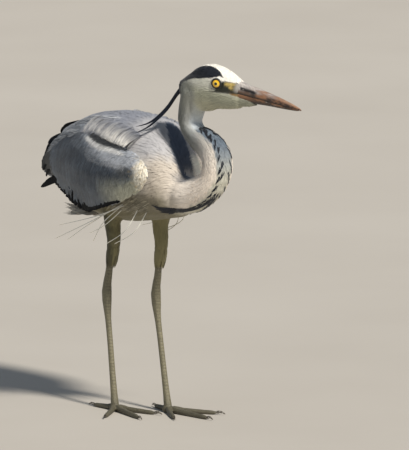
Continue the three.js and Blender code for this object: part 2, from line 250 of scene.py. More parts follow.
class Spots:
    """Places on a surface, each with its triangle and its shares of the corners."""

    def __init__(self, surface, place, face, shares):
        self.surface, self.place, self.face, self.shares = surface, place, face, shares

    def __len__(self):
        return len(self.place)

    def __getitem__(self, chosen):
        return Spots(self.surface, self.place[chosen], self.face[chosen], self.shares[chosen])

    def __call__(self, name):
        """A field of the surface, or its normal, at these places."""
        values = self.surface.normals if name == "normal" else self.surface.fields[name]
        corners = values[self.surface.tris[self.face]]
        shares = self.shares if values.ndim == 1 else self.shares[..., None]
        return np.sum(corners * shares, axis=1)


class Surface:
    """A closed surface with fields at its vertices, which feathers are laid on."""

    def __init__(self, points, quads):
        self.points = points
        self.quads = quads
        self.edges = quad_edges(quads)
        self.tris = np.vstack([quads[:, [0, 1, 2]], quads[:, [0, 2, 3]]])
        self.normals = self.vertex_normals(points)
        self.tree = BVHTree.FromPolygons(points.tolist(), self.tris.tolist())
        self.fields = {}

    def vertex_normals(self, points):
        a, b, c = (points[self.tris[:, k]] for k in range(3))
        flat = np.cross(b - a, c - a)
        normals = np.zeros_like(points)
        for k in range(3):
            np.add.at(normals, self.tris[:, k], flat)
        return unit(normals)

    def flattened(self, ways):
        """Ways at the vertices, laid down on the surface."""
        return unit(ways - self.normals * dot(ways, self.normals)[:, None])

    def span(self, stops, reach=8):
        """The highest and lowest z of the vertices within reach of each x."""
        near = [self.points[np.abs(self.points[:, 0] - x) < reach][:, 2] for x in stops]
        return np.array([z.max() for z in near]), np.array([z.min() for z in near])

    def nearest(self, points):
        """The nearest place to each point."""
        hits = [self.tree.find_nearest(p) for p in points.tolist()]
        place = np.array([h[0][:] for h in hits])
        face = np.array([h[2] for h in hits])
        a, b, c = (self.points[self.tris[face, k]] for k in range(3))
        full = np.cross(b - a, c - a)
        area = np.maximum(dot(full, full), 1e-12)
        to_b = dot(np.cross(place - a, c - a), full) / area
        to_c = dot(np.cross(b - a, place - a), full) / area
        return Spots(self, place, face, columns(1 - to_b - to_c, to_b, to_c))

    def scatter(self, spacing, keep, seed):
        """Places about spacing(at) apart, where keep(at) holds."""
        rng = np.random.default_rng(seed)
        a, b, c = (self.points[self.tris[:, k]] for k in range(3))
        area = np.linalg.norm(np.cross(b - a, c - a), axis=1) / 2
        centre = (a + b + c) / 3
        thirds = np.full((len(centre), 3), 1 / 3)
        tried = Spots(self, centre, np.arange(len(centre)), thirds)
        gap = spacing(tried)
        wanted = np.where(keep(tried), area / gap ** 2, 0)
        tries = int(wanted.sum() * CROWD)
        face = rng.choice(len(area), tries, p=wanted / wanted.sum())
        r, s = rng.random(tries), rng.random(tries)
        flip = r + s > 1
        r[flip], s[flip] = 1 - r[flip], 1 - s[flip]
        shares = columns(1 - r - s, r, s)
        place = np.sum(self.points[self.tris[face]] * shares[..., None], axis=1)
        tried = Spots(self, place, face, shares)
        tried = tried[keep(tried)]
        gap = spacing(tried)
        cell = float(gap.max())
        grid = {}
        kept = []
        keys = np.floor(tried.place / cell).astype(int).tolist()
        around = [(i, j, k) for i in (-1, 0, 1) for j in (-1, 0, 1) for k in (-1, 0, 1)]
        for n, (x, y, z) in enumerate(tried.place.tolist()):
            u, v, w = keys[n]
            least = gap[n] ** 2 * CLOSEST
            near = (q for i, j, k in around for q in grid.get((u + i, v + j, w + k), ()))
            if all((q[0] - x) ** 2 + (q[1] - y) ** 2 + (q[2] - z) ** 2 > least for q in near):
                grid.setdefault((u, v, w), []).append((x, y, z))
                kept.append(n)
        return tried[kept]


SHELL_VOXEL = 3.0
BODY_VOXEL = 2.6
SHELL_ROUNDS = 22
SHELL_EBB = 0.52
SHELL_FITS = 2


def signed_gaps(surface, tree):
    """How far out of a surface's vertices the nearest CAD face lies."""
    hits = [tree.find_nearest(p) for p in surface.points.tolist()]
    away = np.array([hit[0][:] for hit in hits]) - surface.points
    return dot(away, surface.normals)


def shell(names, voxel=SHELL_VOXEL):
    """The coat's outer surface over some nodes: gaps closed, facets evened out, at the CAD's size."""
    source = joined_nodes(names)
    tree = tree_of(source)
    points, quads = remeshed(source, voxel)
    surface = Surface(smoothed(points, quad_edges(quads), SHELL_ROUNDS, SHELL_EBB), quads)
    for _ in range(SHELL_FITS):
        gaps = smoothed(signed_gaps(surface, tree)[:, None], surface.edges, 5)
        surface = Surface(surface.points + surface.normals * gaps, quads)
    return surface


# ---- The neck's line, and what each place on the body belongs to
NECK_LINE = [
    (96, 0, 312), (134, 1, 302), (166, 7, 311), (189, 12, 331), (192, 13, 355),
    (174, 11, 371), (148, 8, 381.5), (134, 6, 398), (139, 6, 417), (149, 7, 442),
]
NECK_SHARES = (0, 0.12, 0.25, 0.4, 0.52, 0.64, 0.76, 0.88, 1)
NECK_RADII = (27, 26, 22, 19.5, 20.5, 18, 15.2, 17.5, 19.5)
NECK_STEPS = 240
NECK_BATCH = 20000  # places judged at a time
neck_points = curve_points(NECK_LINE, NECK_STEPS)
neck_along = unit(np.gradient(neck_points, axis=0))
neck_turn = np.linspace(0, 1, NECK_STEPS)[:, None]
neck_left = unit(np.array([0, 1.0, 0]) * (1 - neck_turn) + HEAD_LEFT * neck_turn)
neck_left = unit(neck_left - neck_along * dot(neck_left, neck_along)[:, None])
neck_throat = np.cross(neck_left, neck_along)
neck_radius = np.interp(neck_turn[:, 0], NECK_SHARES, NECK_RADII)


def neck_coords(points):
    """Share of the neck's length and angle from the throat line, left positive."""
    share = np.zeros(len(points))
    angle = np.zeros(len(points))
    for start in range(0, len(points), NECK_BATCH):
        part = points[start:start + NECK_BATCH]
        away = part[:, None, :] - neck_points[None, :, :]
        radii = np.linalg.norm(away, axis=2) / neck_radius
        best = radii.argmin(axis=1)
        d = away[np.arange(len(part)), best]
        stop = start + len(part)
        share[start:stop] = best / (NECK_STEPS - 1)
        angle[start:stop] = np.arctan2(dot(d, neck_left[best]), dot(d, neck_throat[best]))
    return share, angle


REGIONS = {
    "trunk": ("trunk",),
    "neck": ("neck_lower", "neck_middle", "neck_upper"),
    "head": ("head",),
    "thigh": ("thigh_right", "thigh_left"),
}
REGION_BLUR = 5.0


def region_shares(points):
    """How much each place belongs to trunk, neck, head and thigh, by its distance from their nodes."""
    weights = []
    for names in REGIONS.values():
        mesh = joined_nodes(names)
        tree = tree_of(mesh)
        gap = np.array([tree.find_nearest(p)[3] for p in points.tolist()])
        weights.append(np.exp(-(gap / REGION_BLUR) ** 2 / 2) + 1e-6)
        bpy.data.meshes.remove(mesh)
    weights = np.array(weights)
    return dict(zip(REGIONS, weights / weights.sum(axis=0)))


# Coat depth by region, in millimetres, before thin places ease it.
DEPTHS = {"trunk": 5.0, "neck": 3.2, "head": 2.0, "thigh": 2.8}
FACE_DEPTH = 0.8
HORN_DEPTH = 3.0
LID_DEPTH = 0.9
BARE_DEPTH = 0.15
THIN_SHARE = 0.3

# Lines of the head's markings, along x in the head's own frame.
STRIPE_LOW = ((-70, -17), (-56, -10.6), (-37, -2.2), (-19, 2.1), (-7, 4.9), (2, 8.8), (12, 10.4),
              (18, 14))
CROWN_HALF = ((-60, 0.0), (-46, 4.0), (-34, 6.0), (-15, 7.0), (-2, 8.5), (12, 13.0), (17, 22))
GAPE_LINE = ((-8, -12.4), (4, -11.0), (22, -8.6), (34, -7.2))
LORE_TOP = ((2, 0.5), (8, 3.0), (14, 5.2), (32, 6.0))
LORE_SILL = ((9, 4.5), (14, 0.5), (24, -4.0), (32, -4.8))
CHIN_LINE = ((20, -10.0), (34, -11.4), (50, -13.0), (66, -14.6))


def bare_lore(h):
    """1 on the bare skin between eye and bill."""
    x, y, z = h.T
    low = -11.0 + 0.13 * x
    top = line_at(LORE_TOP, x)
    inside = step(0.0, 3.0, x) * step(low - 0.6, low + 0.8, z) * (1 - step(top - 0.8, top + 0.8, z))
    return inside * step(5.0, 7.0, np.abs(y))


EYE_TURN = math.radians(22)  # how far the eyes look forward
EYE_AXIS = np.array([math.sin(EYE_TURN), math.cos(EYE_TURN), 0.0])


def eye_parts(h):
    """Places seen from the nearer eye's centre: how far out along its axis, and the rest."""
    from_eye = columns(h[:, 0], np.abs(h[:, 1]) - EYE_OFFSET, h[:, 2])
    out = from_eye @ EYE_AXIS
    return out, from_eye - out[:, None] * EYE_AXIS


def eye_gap(h):
    """Distance from the nearer eye's axis."""
    return np.linalg.norm(eye_parts(h)[1], axis=1)


def bare_jaw(h):
    """1 on the horny strip under the gape, where the lower bill runs back into the cheek."""
    x, y, z = h.T
    inside = step(20, 26, x) * step(0.6, -0.6, chin_edge(h)) * step(-6.5, -8.0, z)
    return inside * step(4.0, 6.0, np.abs(y))


def chin_edge(h):
    """How far below the chin's feather line a place on the lower bill is."""
    return line_at(CHIN_LINE, h[:, 0]) - h[:, 2]


def bare(h):
    return np.maximum(bare_lore(h), bare_jaw(h))


EYE_CLEAR = 7.0


def round_eye(lie, h):
    """Bends the head's lie round each eye, as a stream parts round a post."""
    out = eye_parts(h)[1]
    out[:, 1] *= np.sign(h[:, 1])
    reach = np.maximum(np.linalg.norm(out, axis=1), EYE_CLEAR)
    out = unit(out) @ HEAD_AXES
    pull = (EYE_CLEAR / reach) ** 2 * step(6, 11, np.abs(h[:, 1]))
    return unit(lie - pull[:, None] * (2 * dot(lie, out)[:, None] * out - lie))


THIGH_LIE = np.array([-0.12, 0, -1.0])


def body_fields(surface):
    """Regions, neck place, lie of the feathers and coat depth at the body's vertices."""
    p = surface.points
    shares = region_shares(p)
    share, angle = neck_coords(p)
    h = head_coords(p)
    x, y, z = h.T
    side = np.sign(p[:, 1])[:, None]
    up = surface.normals[:, 2]
    mantle = step(0.1, 0.6, up)[:, None]
    trunk_lie = np.array([-1, 0, -0.30]) + side * mantle * np.array([0, 0.16, 0])
    trunk_lie = trunk_lie + (1 - mantle) * np.array([0.05, 0, -0.16])
    neck_lie = -neck_along[(share * (NECK_STEPS - 1)).astype(int)]
    nape = step(-20, -62, x)[:, None]
    cheek = step(2, -26, z)[:, None] * step(12, -20, x)[:, None]
    head_lie = -HEAD_FRONT - HEAD_UP * (0.10 + 1.2 * nape + 0.45 * cheek)
    head_lie = round_eye(unit(head_lie), h)
    lies = {"trunk": trunk_lie, "neck": neck_lie, "head": head_lie, "thigh": THIGH_LIE}
    lie = sum(shares[name][:, None] * unit(direction) for name, direction in lies.items())
    lie = surface.flattened(smoothed(lie, surface.edges, 14))
    depth = sum(shares[name] * DEPTHS[name] for name in REGIONS)
    for level, where in (
            (FACE_DEPTH, step(-6, 22, x) * step(8, -6, z)),
            (LID_DEPTH, step(15, 7.5, eye_gap(h)) * step(8, 13, np.abs(y))),
            (HORN_DEPTH, np.maximum(step(60, 68, x), step(33, 38, x) * step(-9, -7, z))),
            (BARE_DEPTH, bare(h))):
        depth = eased(depth, level, where * shares["head"])
    surface.fields.update(shares)
    surface.fields.update({"lie": lie, "depth": eased_depth(surface, depth), "share": share,
                           "cos": np.cos(angle), "sin": np.sin(angle)})


def eased_depth(surface, depth):
    """Depth, but never more than a share of the thickness there, evened out."""
    inward = -surface.normals
    hits = [surface.tree.ray_cast(p, n, 200) for p, n in
            zip((surface.points + inward * 0.4).tolist(), inward.tolist())]
    thick = np.array([hit[3] if hit[0] else 200 for hit in hits])
    depth = np.minimum(depth, thick * THIN_SHARE)
    return smoothed(depth[:, None], surface.edges, 6)[:, 0]


# ---- Wings: each is a bowed plate beside the trunk
WING_DEPTH = 3.2
WING_LIE = {"right": ((-51, 6, -98), (-78, 8, -60)), "left": ((-88, -4, -42), (-95, -6, -26))}
WING_TURN_FROM = 60.0
WING_TURN_TO = -150.0


def wing_fields(surface, side):
    """Height share (0 at the top edge), how far outward it faces, lie and depth on a wing."""
    surface.side = side
    p = surface.points
    stops = np.linspace(p[:, 0].min(), p[:, 0].max(), 60)
    top, low = surface.span(stops)
    height = (np.interp(p[:, 0], stops, top) - p[:, 2]) / np.interp(p[:, 0], stops, top - low)
    front, rear = (np.array(v, float) for v in WING_LIE[side])
    turn = step(WING_TURN_FROM, WING_TURN_TO, p[:, 0])
    lie = surface.flattened(mix(unit(front), unit(rear), turn))
    lie = surface.flattened(smoothed(lie, surface.edges, 8))
    surface.fields.update({
        "lie": lie, "height": np.clip(height, 0, 1), "outer": surface.normals[:, 1] * SIGN[side],
        "depth": eased_depth(surface, np.full(len(p), WING_DEPTH)),
    })


# ---- Markings, with painted light and shade
# Some of these colours stand for light and shade: each is marked where it is painted.
PLUMAGE = {name: rgb(code) for name, code in {
    "crown": "#f1ece2", "stripe": "#0e141f", "cheek": "#c4c3b6", "jowl": "#a9a994",
    "throat": "#b9b79f", "lore": "#26281d", "lore_yellow": "#c4aa60", "gape": "#1d1b16",
    "bill_base": "#aaa49c", "jaw": "#8f7044", "neck": "#bdb8b1", "neck_buff": "#ece1d4",
    "foreneck": "#ccc9ba", "foreneck_top": "#6c7885", "neck_upper": "#b6b8b6",
    "neck_front": "#d2d9dd", "nook": "#fbf5e6", "hind_neck": "#73756f", "streak": "#0d131e",
    "mantle": "#8b8e98", "shoulder": "#b3b1b1", "hollow": "#2b3d55", "gap": "#0d1219",
    "breast": "#c3b9ac", "flank": "#a9a6a2", "flank_low": "#756f5b", "belly": "#6f694e",
    "thigh": "#807956", "thigh_rear": "#4a4834", "vent": "#a8a49b", "flank_dark": "#5c5847",
    "flank_pale": "#b7b09a", "rump": "#8f949d", "wing": "#5a6673", "wing_dark": "#343f4c",
    "wing_band": "#a1a5ac", "comb": "#bcbec2", "wing_rim": "#dcdad6", "wing_rear": "#0b0e13",
    "wrist": "#e6dfcf", "wing_low": "#a3a595", "wing_spot": "#42474b", "flight": "#0b0e13",
    "tertial": "#6d757f", "tail": "#7d858f", "lining": "#8b919a", "silver": "#eceef1",
    "silver_shade": "#a6aab2", "scapular_shade": "#71747d", "scapular_tip": "#d4d1cb",
    "wisp": "#efece0", "eyelid": "#181a16", "wrist_stain": "#cfae62",
}.items()}


def head_colour(p):
    """The head's markings: white crown, black stripe over the eye to the nape, dark lore. The cheek's
    grey is partly painted shade; the darker jowl and the darker rear below the stripe are painted shade.
    """
    h = head_coords(p)
    x, y, z = h[:, 0], np.abs(h[:, 1]), h[:, 2]
    rag = 0.8 * waves(p, 9, 31)
    low = line_at(STRIPE_LOW, x) + rag
    crown_half = line_at(CROWN_HALF, x) + 0.5 * rag
    stripe = step(low - 0.5, low + 0.5, z) * step(crown_half - 0.5, crown_half + 0.5, y)
    stripe = stripe * step(18.5, 16.5, x + 0.4 * rag) * step(-78, -73, x)
    nape = step(-50, -55, x) * step(12.5, 10.5, y + rag) * step(-44, -36, z)
    colour = painted(
        "cheek",
        # Painted shade: the face darker below the cheek; the cheek's own grey is partly painted shade
        # too.
        ("jowl", step(-5, -17, z + 2 * waves(p, 14, 79))),
        ("throat", step(-20, -32, z)),
        # Painted shade on the lower rear of the head.
        ("hind_neck", step(-26, -46, x) * step(-2, -14, z + 0.2 * (x + 40)) * 0.7),
        ("crown", step(-2, 6, z + 0.15 * x)),
        ("stripe", np.maximum(stripe, nape)))
    gape_z = line_at(GAPE_LINE, x)
    gape = band(z, gape_z - 0.9, gape_z + 0.9, 0.6) * step(-9, -2, x) * step(6, 8, y)
    sill = line_at(LORE_SILL, x)
    yellow = step(sill - 1.2, sill + 2.2, z + 1.2 * waves(p, 3.0, 78))
    yellow = yellow * step(11, 17, x) * step(31, 25, x) * (0.82 + 0.5 * waves(p, 4, 77))
    bare_skin = painted("lore", ("lore_yellow", np.clip(yellow, 0, 1) * 0.9),
                        ("bill_base", step(26, 32, x) * step(-7, -4, z) * 0.8))
    colour = mix(colour, bare_skin, bare_lore(h))
    return painted(colour, ("jaw", bare_jaw(h)), ("gape", gape * 0.85))


def neck_colour(p, share, angle):
    """White foreneck between buff-grey sides, cooler above. Painted shade darkens the upper neck behind,
    painted light brightens its front, and painted shadow falls from head and bill on the foreneck and in
    the fold at the neck's root.
    """
    turn = np.abs(angle - THROAT_TURN)
    side = painted(
        "neck",
        ("neck_buff", step(0.62, 0.42, share)),
        ("neck_upper", step(0.60, 0.72, share)),
        # Painted shade: the upper neck darker on its hind side, away from the light.
        ("hind_neck", step(0.55, 1.55, turn) * step(0.50, 0.72, share) * 0.9),
        # Painted light: the upper neck paler towards its front, where the light falls.
        ("neck_front", step(0.85, 0.45, turn) * step(0.74, 0.84, share)))
    front = painted(
        "foreneck",
        # The upper foreneck's white, partly its own colour and partly painted light.
        ("neck_front", step(0.62, 0.72, share)),
        # Painted shadow of head and bill: blue-grey across the upper foreneck.
        ("foreneck_top", step(0.42, 0.55, share) * step(0.74, 0.66, share)))
    colour = mix(side, front, step(0.75, 0.5, turn + 0.10 * waves(p, 16, 5)))
    # Painted shadow of head and neck, carried onto the far side of the neck's root.
    nook = step(-128, -150, np.degrees(angle)) * step(0.26, 0.20, share)
    return mix(colour, PLUMAGE["hollow"], nook * NECK_SHADOW_STRENGTH)


# Painted shadow of head and neck: how dark it is painted, and the lines that bound it across the
# breast's top.
NECK_SHADOW_STRENGTH = 0.9
NECK_SHADOW_RIGHT = ((58, 16), (66, 8), (92, -3), (111, -9), (120, -10), (131, -6), (150, -3))
NECK_SHADOW_LEFT = ((64, 22), (95, 20), (108, 18), (120, 17), (133, 12))


def trunk_colour(p, up):
    """Grey mantle, paler shoulders, buff-white breast, olive belly and grey rump. Painted light and
    shade: the shadow of head and neck, a sunlit patch beside it, the crease above the wing, the lower
    flank and part of the belly's olive.
    """
    x, y, z = p.T
    rag = waves(p, 22, 8)
    # Painted shadow: the hard shadow of head and neck across the breast's top, between the two lines.
    hollow = band(y, line_at(NECK_SHADOW_RIGHT, x) + 0.6 * rag, line_at(NECK_SHADOW_LEFT, x), 1.2)
    # Painted light: a small near-white patch beside the painted shadow, where sun falls on the breast
    # past the neck.
    nook = step(13, 19, y) * step(36, 30, y) * step(104, 114, x) * step(316, 324, z) * step(356, 344, z)
    return painted(
        "flank",
        ("mantle", step(0.15, 0.55, up + 0.08 * rag)),
        ("shoulder", step(20, 70, x + 5 * rag) * 0.8),
        ("breast", step(78, 112, x + 5 * rag) * step(362, 338, z + 4 * rag)),
        # Painted shade on the lower flank, under the wing's front.
        ("flank_low", step(326, 288, z + 3 * rag) * step(0.3, -0.3, up) * step(20, 60, x) * 0.9),
        # The belly's dark olive is partly its own olive tint and partly painted shade under the bird.
        ("belly", step(300, 272, z + 0.10 * x + 4 * rag)),
        ("rump", step(-70, -120, x) * step(-0.2, 0.4, up)),
        ("vent", step(-105, -135, x) * step(0.1, -0.4, up)),
        ("nook", nook),
        ("hollow", hollow * step(58, 64, x) * step(318, 326, z) * NECK_SHADOW_STRENGTH),
        # Painted shade in the crease on the body's side, under the scapular ends.
        ("gap", crease_shade(p) * step(56, 40, x)))


# The crease between shoulder and wing, painted dark as shade: x, height of its middle, half its height.
CREASE_SHADE_LINES = {
    -1.0: ((-40, 369.5, 0.5), (-22, 368, 3.2), (-2, 366, 4.6), (24, 363.5, 4.4), (48, 362.6, 3.4),
           (68, 361.8, 2.4), (92, 360.5, 1.2)),
    1.0: ((-60, 382, 0.5), (-28, 380, 3), (12, 376, 3.6), (40, 371, 3.6), (62, 367, 3.2),
          (88, 361, 1.5)),
}


def crease_shade(p):
    """How far inside the crease above a wing a place lies, 0 to 1, for its painted shade."""
    total = np.zeros(len(p))
    for sign, line in CREASE_SHADE_LINES.items():
        x, z, half = np.array(line).T
        middle, wide = np.interp(p[:, 0], x, z), np.interp(p[:, 0], x, half)
        inside = band(p[:, 2], middle - wide, middle + wide, 1.0) * (p[:, 1] * sign > 42)
        total = total + inside * step(x[0], x[0] + 20, p[:, 0]) * step(x[-1] + 4, x[-1] - 6, p[:, 0])
    return np.clip(total, 0, 1)


def body_colour(at):
    """The coat's colour at places on the body, from its regions."""
    p = at.place
    # Painted shade: each thigh darker at its rear; the front's dark olive is partly painted shade too.
    thigh_rear = step(4, -16, p[:, 0] + 4 * waves(p, 12, 9))
    parts = {
        "trunk": trunk_colour(p, at("normal")[:, 2]),
        "neck": neck_colour(p, at("share"), np.arctan2(at("sin"), at("cos"))),
        "head": head_colour(p),
        "thigh": painted("thigh", ("thigh_rear", thigh_rear)),
    }
    return sum(parts[name] * at(name)[:, None] for name in REGIONS)


WING_REAR = {"right": -164.0, "left": -196.0}  # x behind which a wing shows its black flight feathers
WING_BAND_EDGE = ((0, 0.50), (40, 0.42), (65, 0.33), (100, 0.24), (150, 0.16), (210, 0.0))


def wing_colour(at):
    """Slate wing with a pale leading band, cream wrist, dark spot and olive-white lower front, a painted
    highlight along its top edge and painted shade in the crease above.
    """
    p, height, outer = at.place, at("height"), at("outer")
    back = at.surface.points[:, 0].max() - p[:, 0]
    rag = waves(p, 24, 12)
    fine = waves(p, 8, 13)
    grain = waves(p * [1.0, 1.0, 0.25], 5, 14)
    edge = line_at(WING_BAND_EDGE, back)
    pale_band = step(edge + 0.10, edge - 0.06, height + 0.03 * fine)
    spot = np.exp(-(((back - 36) / 21) ** 2 + ((height - 0.43) / 0.13) ** 2) * 1.2)
    stain = np.clip(waves(p, 7, 21) - 0.25, 0, 1) * step(40, 10, back)
    rear = WING_REAR[at.surface.side]
    return painted(
        "wing",
        ("wing_dark", np.clip(0.75 + 0.5 * rag + 0.3 * grain, 0, 1) * band(back, 40, 290, 30)),
        ("wing_band", pale_band * step(240, 190, back) * 0.95),
        ("wing_low", step(0.46, 0.78, height + 0.05 * fine) * step(128, 52, back + 10 * rag)),
        ("wrist", step(26, 7, back + 4 * fine)),
        ("wing_spot", np.clip(1.6 * spot - 0.1, 0, 0.95)),
        ("wrist_stain", stain * 0.6),
        ("wing_rear", step(rear + 2, rear - 3, p[:, 0] + 6 * grain + 3 * fine)),
        # Painted highlight: a pale line along the wing's top edge, just below the crease.
        ("wing_rim", crease_shade(p + [0, 0, 5.6]) * (outer > 0) * 0.8),
        # Painted shade in the crease, on the wing's upper face.
        ("gap", crease_shade(p) * (at("normal")[:, 2] > 0.1)),
        ("lining", step(-0.1, -0.4, outer)))


# ---- Meshes and materials
VANE_RIM = math.radians(50)


def piece_mesh(name, points, corners, totals, colours, extra=None, uvs=None, rim=None):
    """A mesh object from arrays: points, face corners with a count per face, and its fields."""
    mesh = bpy.data.meshes.new(name)
    mesh.vertices.add(len(points))
    mesh.vertices.foreach_set("co", to_metres(points).astype(np.float32).ravel())
    mesh.loops.add(len(corners))
    mesh.loops.foreach_set("vertex_index", np.asarray(corners, np.int32))
    mesh.polygons.add(len(totals))
    starts = np.concatenate([[0], np.cumsum(totals)[:-1]]).astype(np.int32)
    mesh.polygons.foreach_set("loop_start", starts)
    mesh.update(calc_edges=True)
    mesh.shade_smooth()
    if rim:
        mesh.set_sharp_from_angle(angle=rim)
    layer = mesh.color_attributes.new("plumage", "FLOAT_COLOR", "POINT")
    full = np.ones((len(points), 4), np.float32)
    full[:, :3] = np.clip(colours, 0, 1)
    layer.data.foreach_set("color", full.ravel())
    mesh.color_attributes.active_color = layer
    for key, values in (extra or {}).items():
        layer = mesh.attributes.new(key, "FLOAT", "POINT")
        layer.data.foreach_set("value", np.asarray(values, np.float32))
    for key, values in (uvs or {}).items():
        layer = mesh.uv_layers.new(name=key)
        layer.data.foreach_set("uv", np.asarray(values[corners], np.float32).ravel())
    return linked(name, mesh)


def placed(thing, nodes, material):
    thing.data.materials.clear()
    thing.data.materials.append(material)
    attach(thing, BODY)
    if nodes:
        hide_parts(*nodes)
    return thing


class Nodes:
    """Short calls for building a material's node tree."""

    def __init__(self, name):
        self.material = bpy.data.materials.new(name)
        self.material.use_nodes = True
        self.tree = self.material.node_tree
        self.shader = self.tree.nodes["Principled BSDF"]

    def add(self, kind, **settings):
        node = self.tree.nodes.new("ShaderNode" + kind)
        for key, value in settings.items():
            if key in node.inputs:
                node.inputs[key].default_value = value
            else:
                setattr(node, key, value)
        return node

    def finish(self, **sockets):
        """Constant values of the shader's own sockets, spaces written as underscores."""
        for key, value in sockets.items():
            self.shader.inputs[key.replace("_", " ")].default_value = value
        return self.material

    def marked(self, *values):
        """The colour painted on the vertices, times grey values."""
        value = values[0]
        for other in values[1:]:
            value = self.times(value, other)
        painted_on = self.attribute("plumage").outputs["Color"]
        self.link(self.tinted(painted_on, value), self.shader.inputs["Base Color"])

    def rough(self, value, low, high):
        self.link(self.spread(value, low, high), self.shader.inputs["Roughness"])

    def cells(self, scale):
        node = self.add("TexVoronoi", Scale=scale)
        self.link(self.add("TexCoord").outputs["Object"], node.inputs["Vector"])
        return node.outputs["Distance"]

    def link(self, source, target):
        self.tree.links.new(source, target)

    def noise(self, scale, detail=3.0, stretch=None, places=None):
        """Soft noise on the object's own places, or on others."""
        places = places or self.add("TexCoord").outputs["Object"]
        if stretch:
            mapping = self.add("Mapping", Scale=stretch)
            self.link(places, mapping.inputs["Vector"])
            places = mapping.outputs["Vector"]
        node = self.add("TexNoise", Scale=scale, Detail=detail)
        self.link(places, node.inputs["Vector"])
        return node.outputs["Fac"]

    def spread(self, value, low, high):
        """A value from 0..1 spread over low..high."""
        node = self.add("MapRange", **{"To Min": low, "To Max": high})
        self.link(value, node.inputs["Value"])
        return node.outputs["Result"]

    def times(self, a, b):
        node = self.add("Math", operation="MULTIPLY")
        self.link(a, node.inputs[0])
        self.link(b, node.inputs[1])
        return node.outputs[0]

    def tinted(self, colour, value):
        """A colour times a grey value."""
        node = self.add("Mix", data_type="RGBA", blend_type="MULTIPLY", Factor=1.0)
        self.link(colour, node.inputs["A"])
        self.link(value, node.inputs["B"])
        return node.outputs["Result"]

    def blended(self, factor, a, b):
        """A colour between two others."""
        node = self.add("Mix", data_type="RGBA")
        self.link(factor, node.inputs["Factor"])
        for key, value in (("A", a), ("B", b)):
            node.inputs[key].default_value = (*value, 1.0)
        return node.outputs["Result"]

    def bump(self, height, strength, distance_mm):
        node = self.add("Bump", Strength=strength, Distance=distance_mm * MM)
        self.link(height, node.inputs["Height"])
        self.link(node.outputs["Normal"], self.shader.inputs["Normal"])

    def attribute(self, name):
        return self.add("Attribute", attribute_name=name)


STRANDS = 26.0
RELIEF = 0.35


@functools.cache
def feather_material(name, roughness=0.6, sheen=0.15, vary=0.05, gloss=0.3):
    """Marked plumage: its colour varies from feather to feather, with silky strands down each vane."""
    n = Nodes(name)
    each = n.attribute("each").outputs["Fac"]
    mottle = n.noise(240.0, 4.0)
    vane = n.add("UVMap", uv_map="vane").outputs["UV"]
    strand = n.noise(1.0, 3.0, (STRANDS, 1.1, 1.0), vane)
    n.marked(n.spread(each, 1 - vary, 1 + vary), n.spread(mottle, 0.88, 1.12),
             n.spread(strand, 0.78, 1.2))
    n.rough(strand, roughness - 0.1, roughness + 0.12)
    n.bump(strand, RELIEF, 0.3)
    return n.finish(Sheen_Weight=sheen, Sheen_Roughness=0.5, Specular_IOR_Level=gloss)


# ---- Feathers
PLUME_STOPS = tuple(np.linspace(0, 0.96, 18))
PLUME_WIDTH = ((0, 0.4), (0.1, 0.9), (0.45, 1), (0.8, 0.6), (1, 0.1))
# Each kind: stations along the feather, its width there as a share of the widest, and how many points
# go round it. The last station is followed by the tip.
KINDS = {
    "tiny": ((0, 0.4, 0.8), (0.55, 1, 0.7), 3),
    "down": ((0, 0.3, 0.62, 0.86), (0.5, 1, 0.86, 0.5), 3),
    "contour": ((0, 0.3, 0.65, 0.92), (0.4, 0.92, 1, 0.5), 4),
    "lance": ((0, 0.22, 0.5, 0.78), (0.45, 1, 0.82, 0.42), 4),
    "hackle": ((0, 0.12, 0.26, 0.4, 0.55, 0.7, 0.85), (0.5, 0.85, 1, 0.95, 0.8, 0.58, 0.32), 4),
    "plume": (PLUME_STOPS, line_at(PLUME_WIDTH, PLUME_STOPS), 4),
    "flight": ((0, 0.12, 0.25, 0.4, 0.55, 0.7, 0.82, 0.91, 0.97),
               (0.3, 0.7, 0.92, 1, 1, 0.97, 0.86, 0.64, 0.36), 8),
}
CROWN = 0.09  # how far a vane's edges fall below its middle, as a share of its width
SECTIONS = {
    3: ((1, 0, -1), (0, 1, 0)),
    4: ((1, 0, -1, 0), (0, 1, 0, -1)),
    8: ((1, 0.5, 0, -0.5, -1, -0.5, 0, 0.5), (0, 0.7, 1.6, 0.7, 0, -0.7, -1.4, -0.7)),
}
PATCH = 0.003  # size of one feather's own square on the unwrap
MOST_TRIANGLES = 200000


def corners_of(faces):
    return np.concatenate([np.array(f) for f in faces]), np.array([len(f) for f in faces])


def vane_faces(rings, sides):
    """Corners and counts of one feather: its sides, its closed root and its pointed tip."""
    faces = []
    turns = [(i, (i + 1) % sides) for i in range(sides)]
    last = (rings - 1) * sides
    for j in range(0, last, sides):
        faces += [(j + i, j + sides + i, j + sides + k, j + k) for i, k in turns]
    faces += [(last + i, rings * sides, last + k) for i, k in turns]
    return corners_of(faces + [tuple(range(sides))])


def at_each_point(values, line):
    values = np.asarray(values, float)
    return np.broadcast_to(values[:, None] if values.ndim == 2 else values, line.shape)


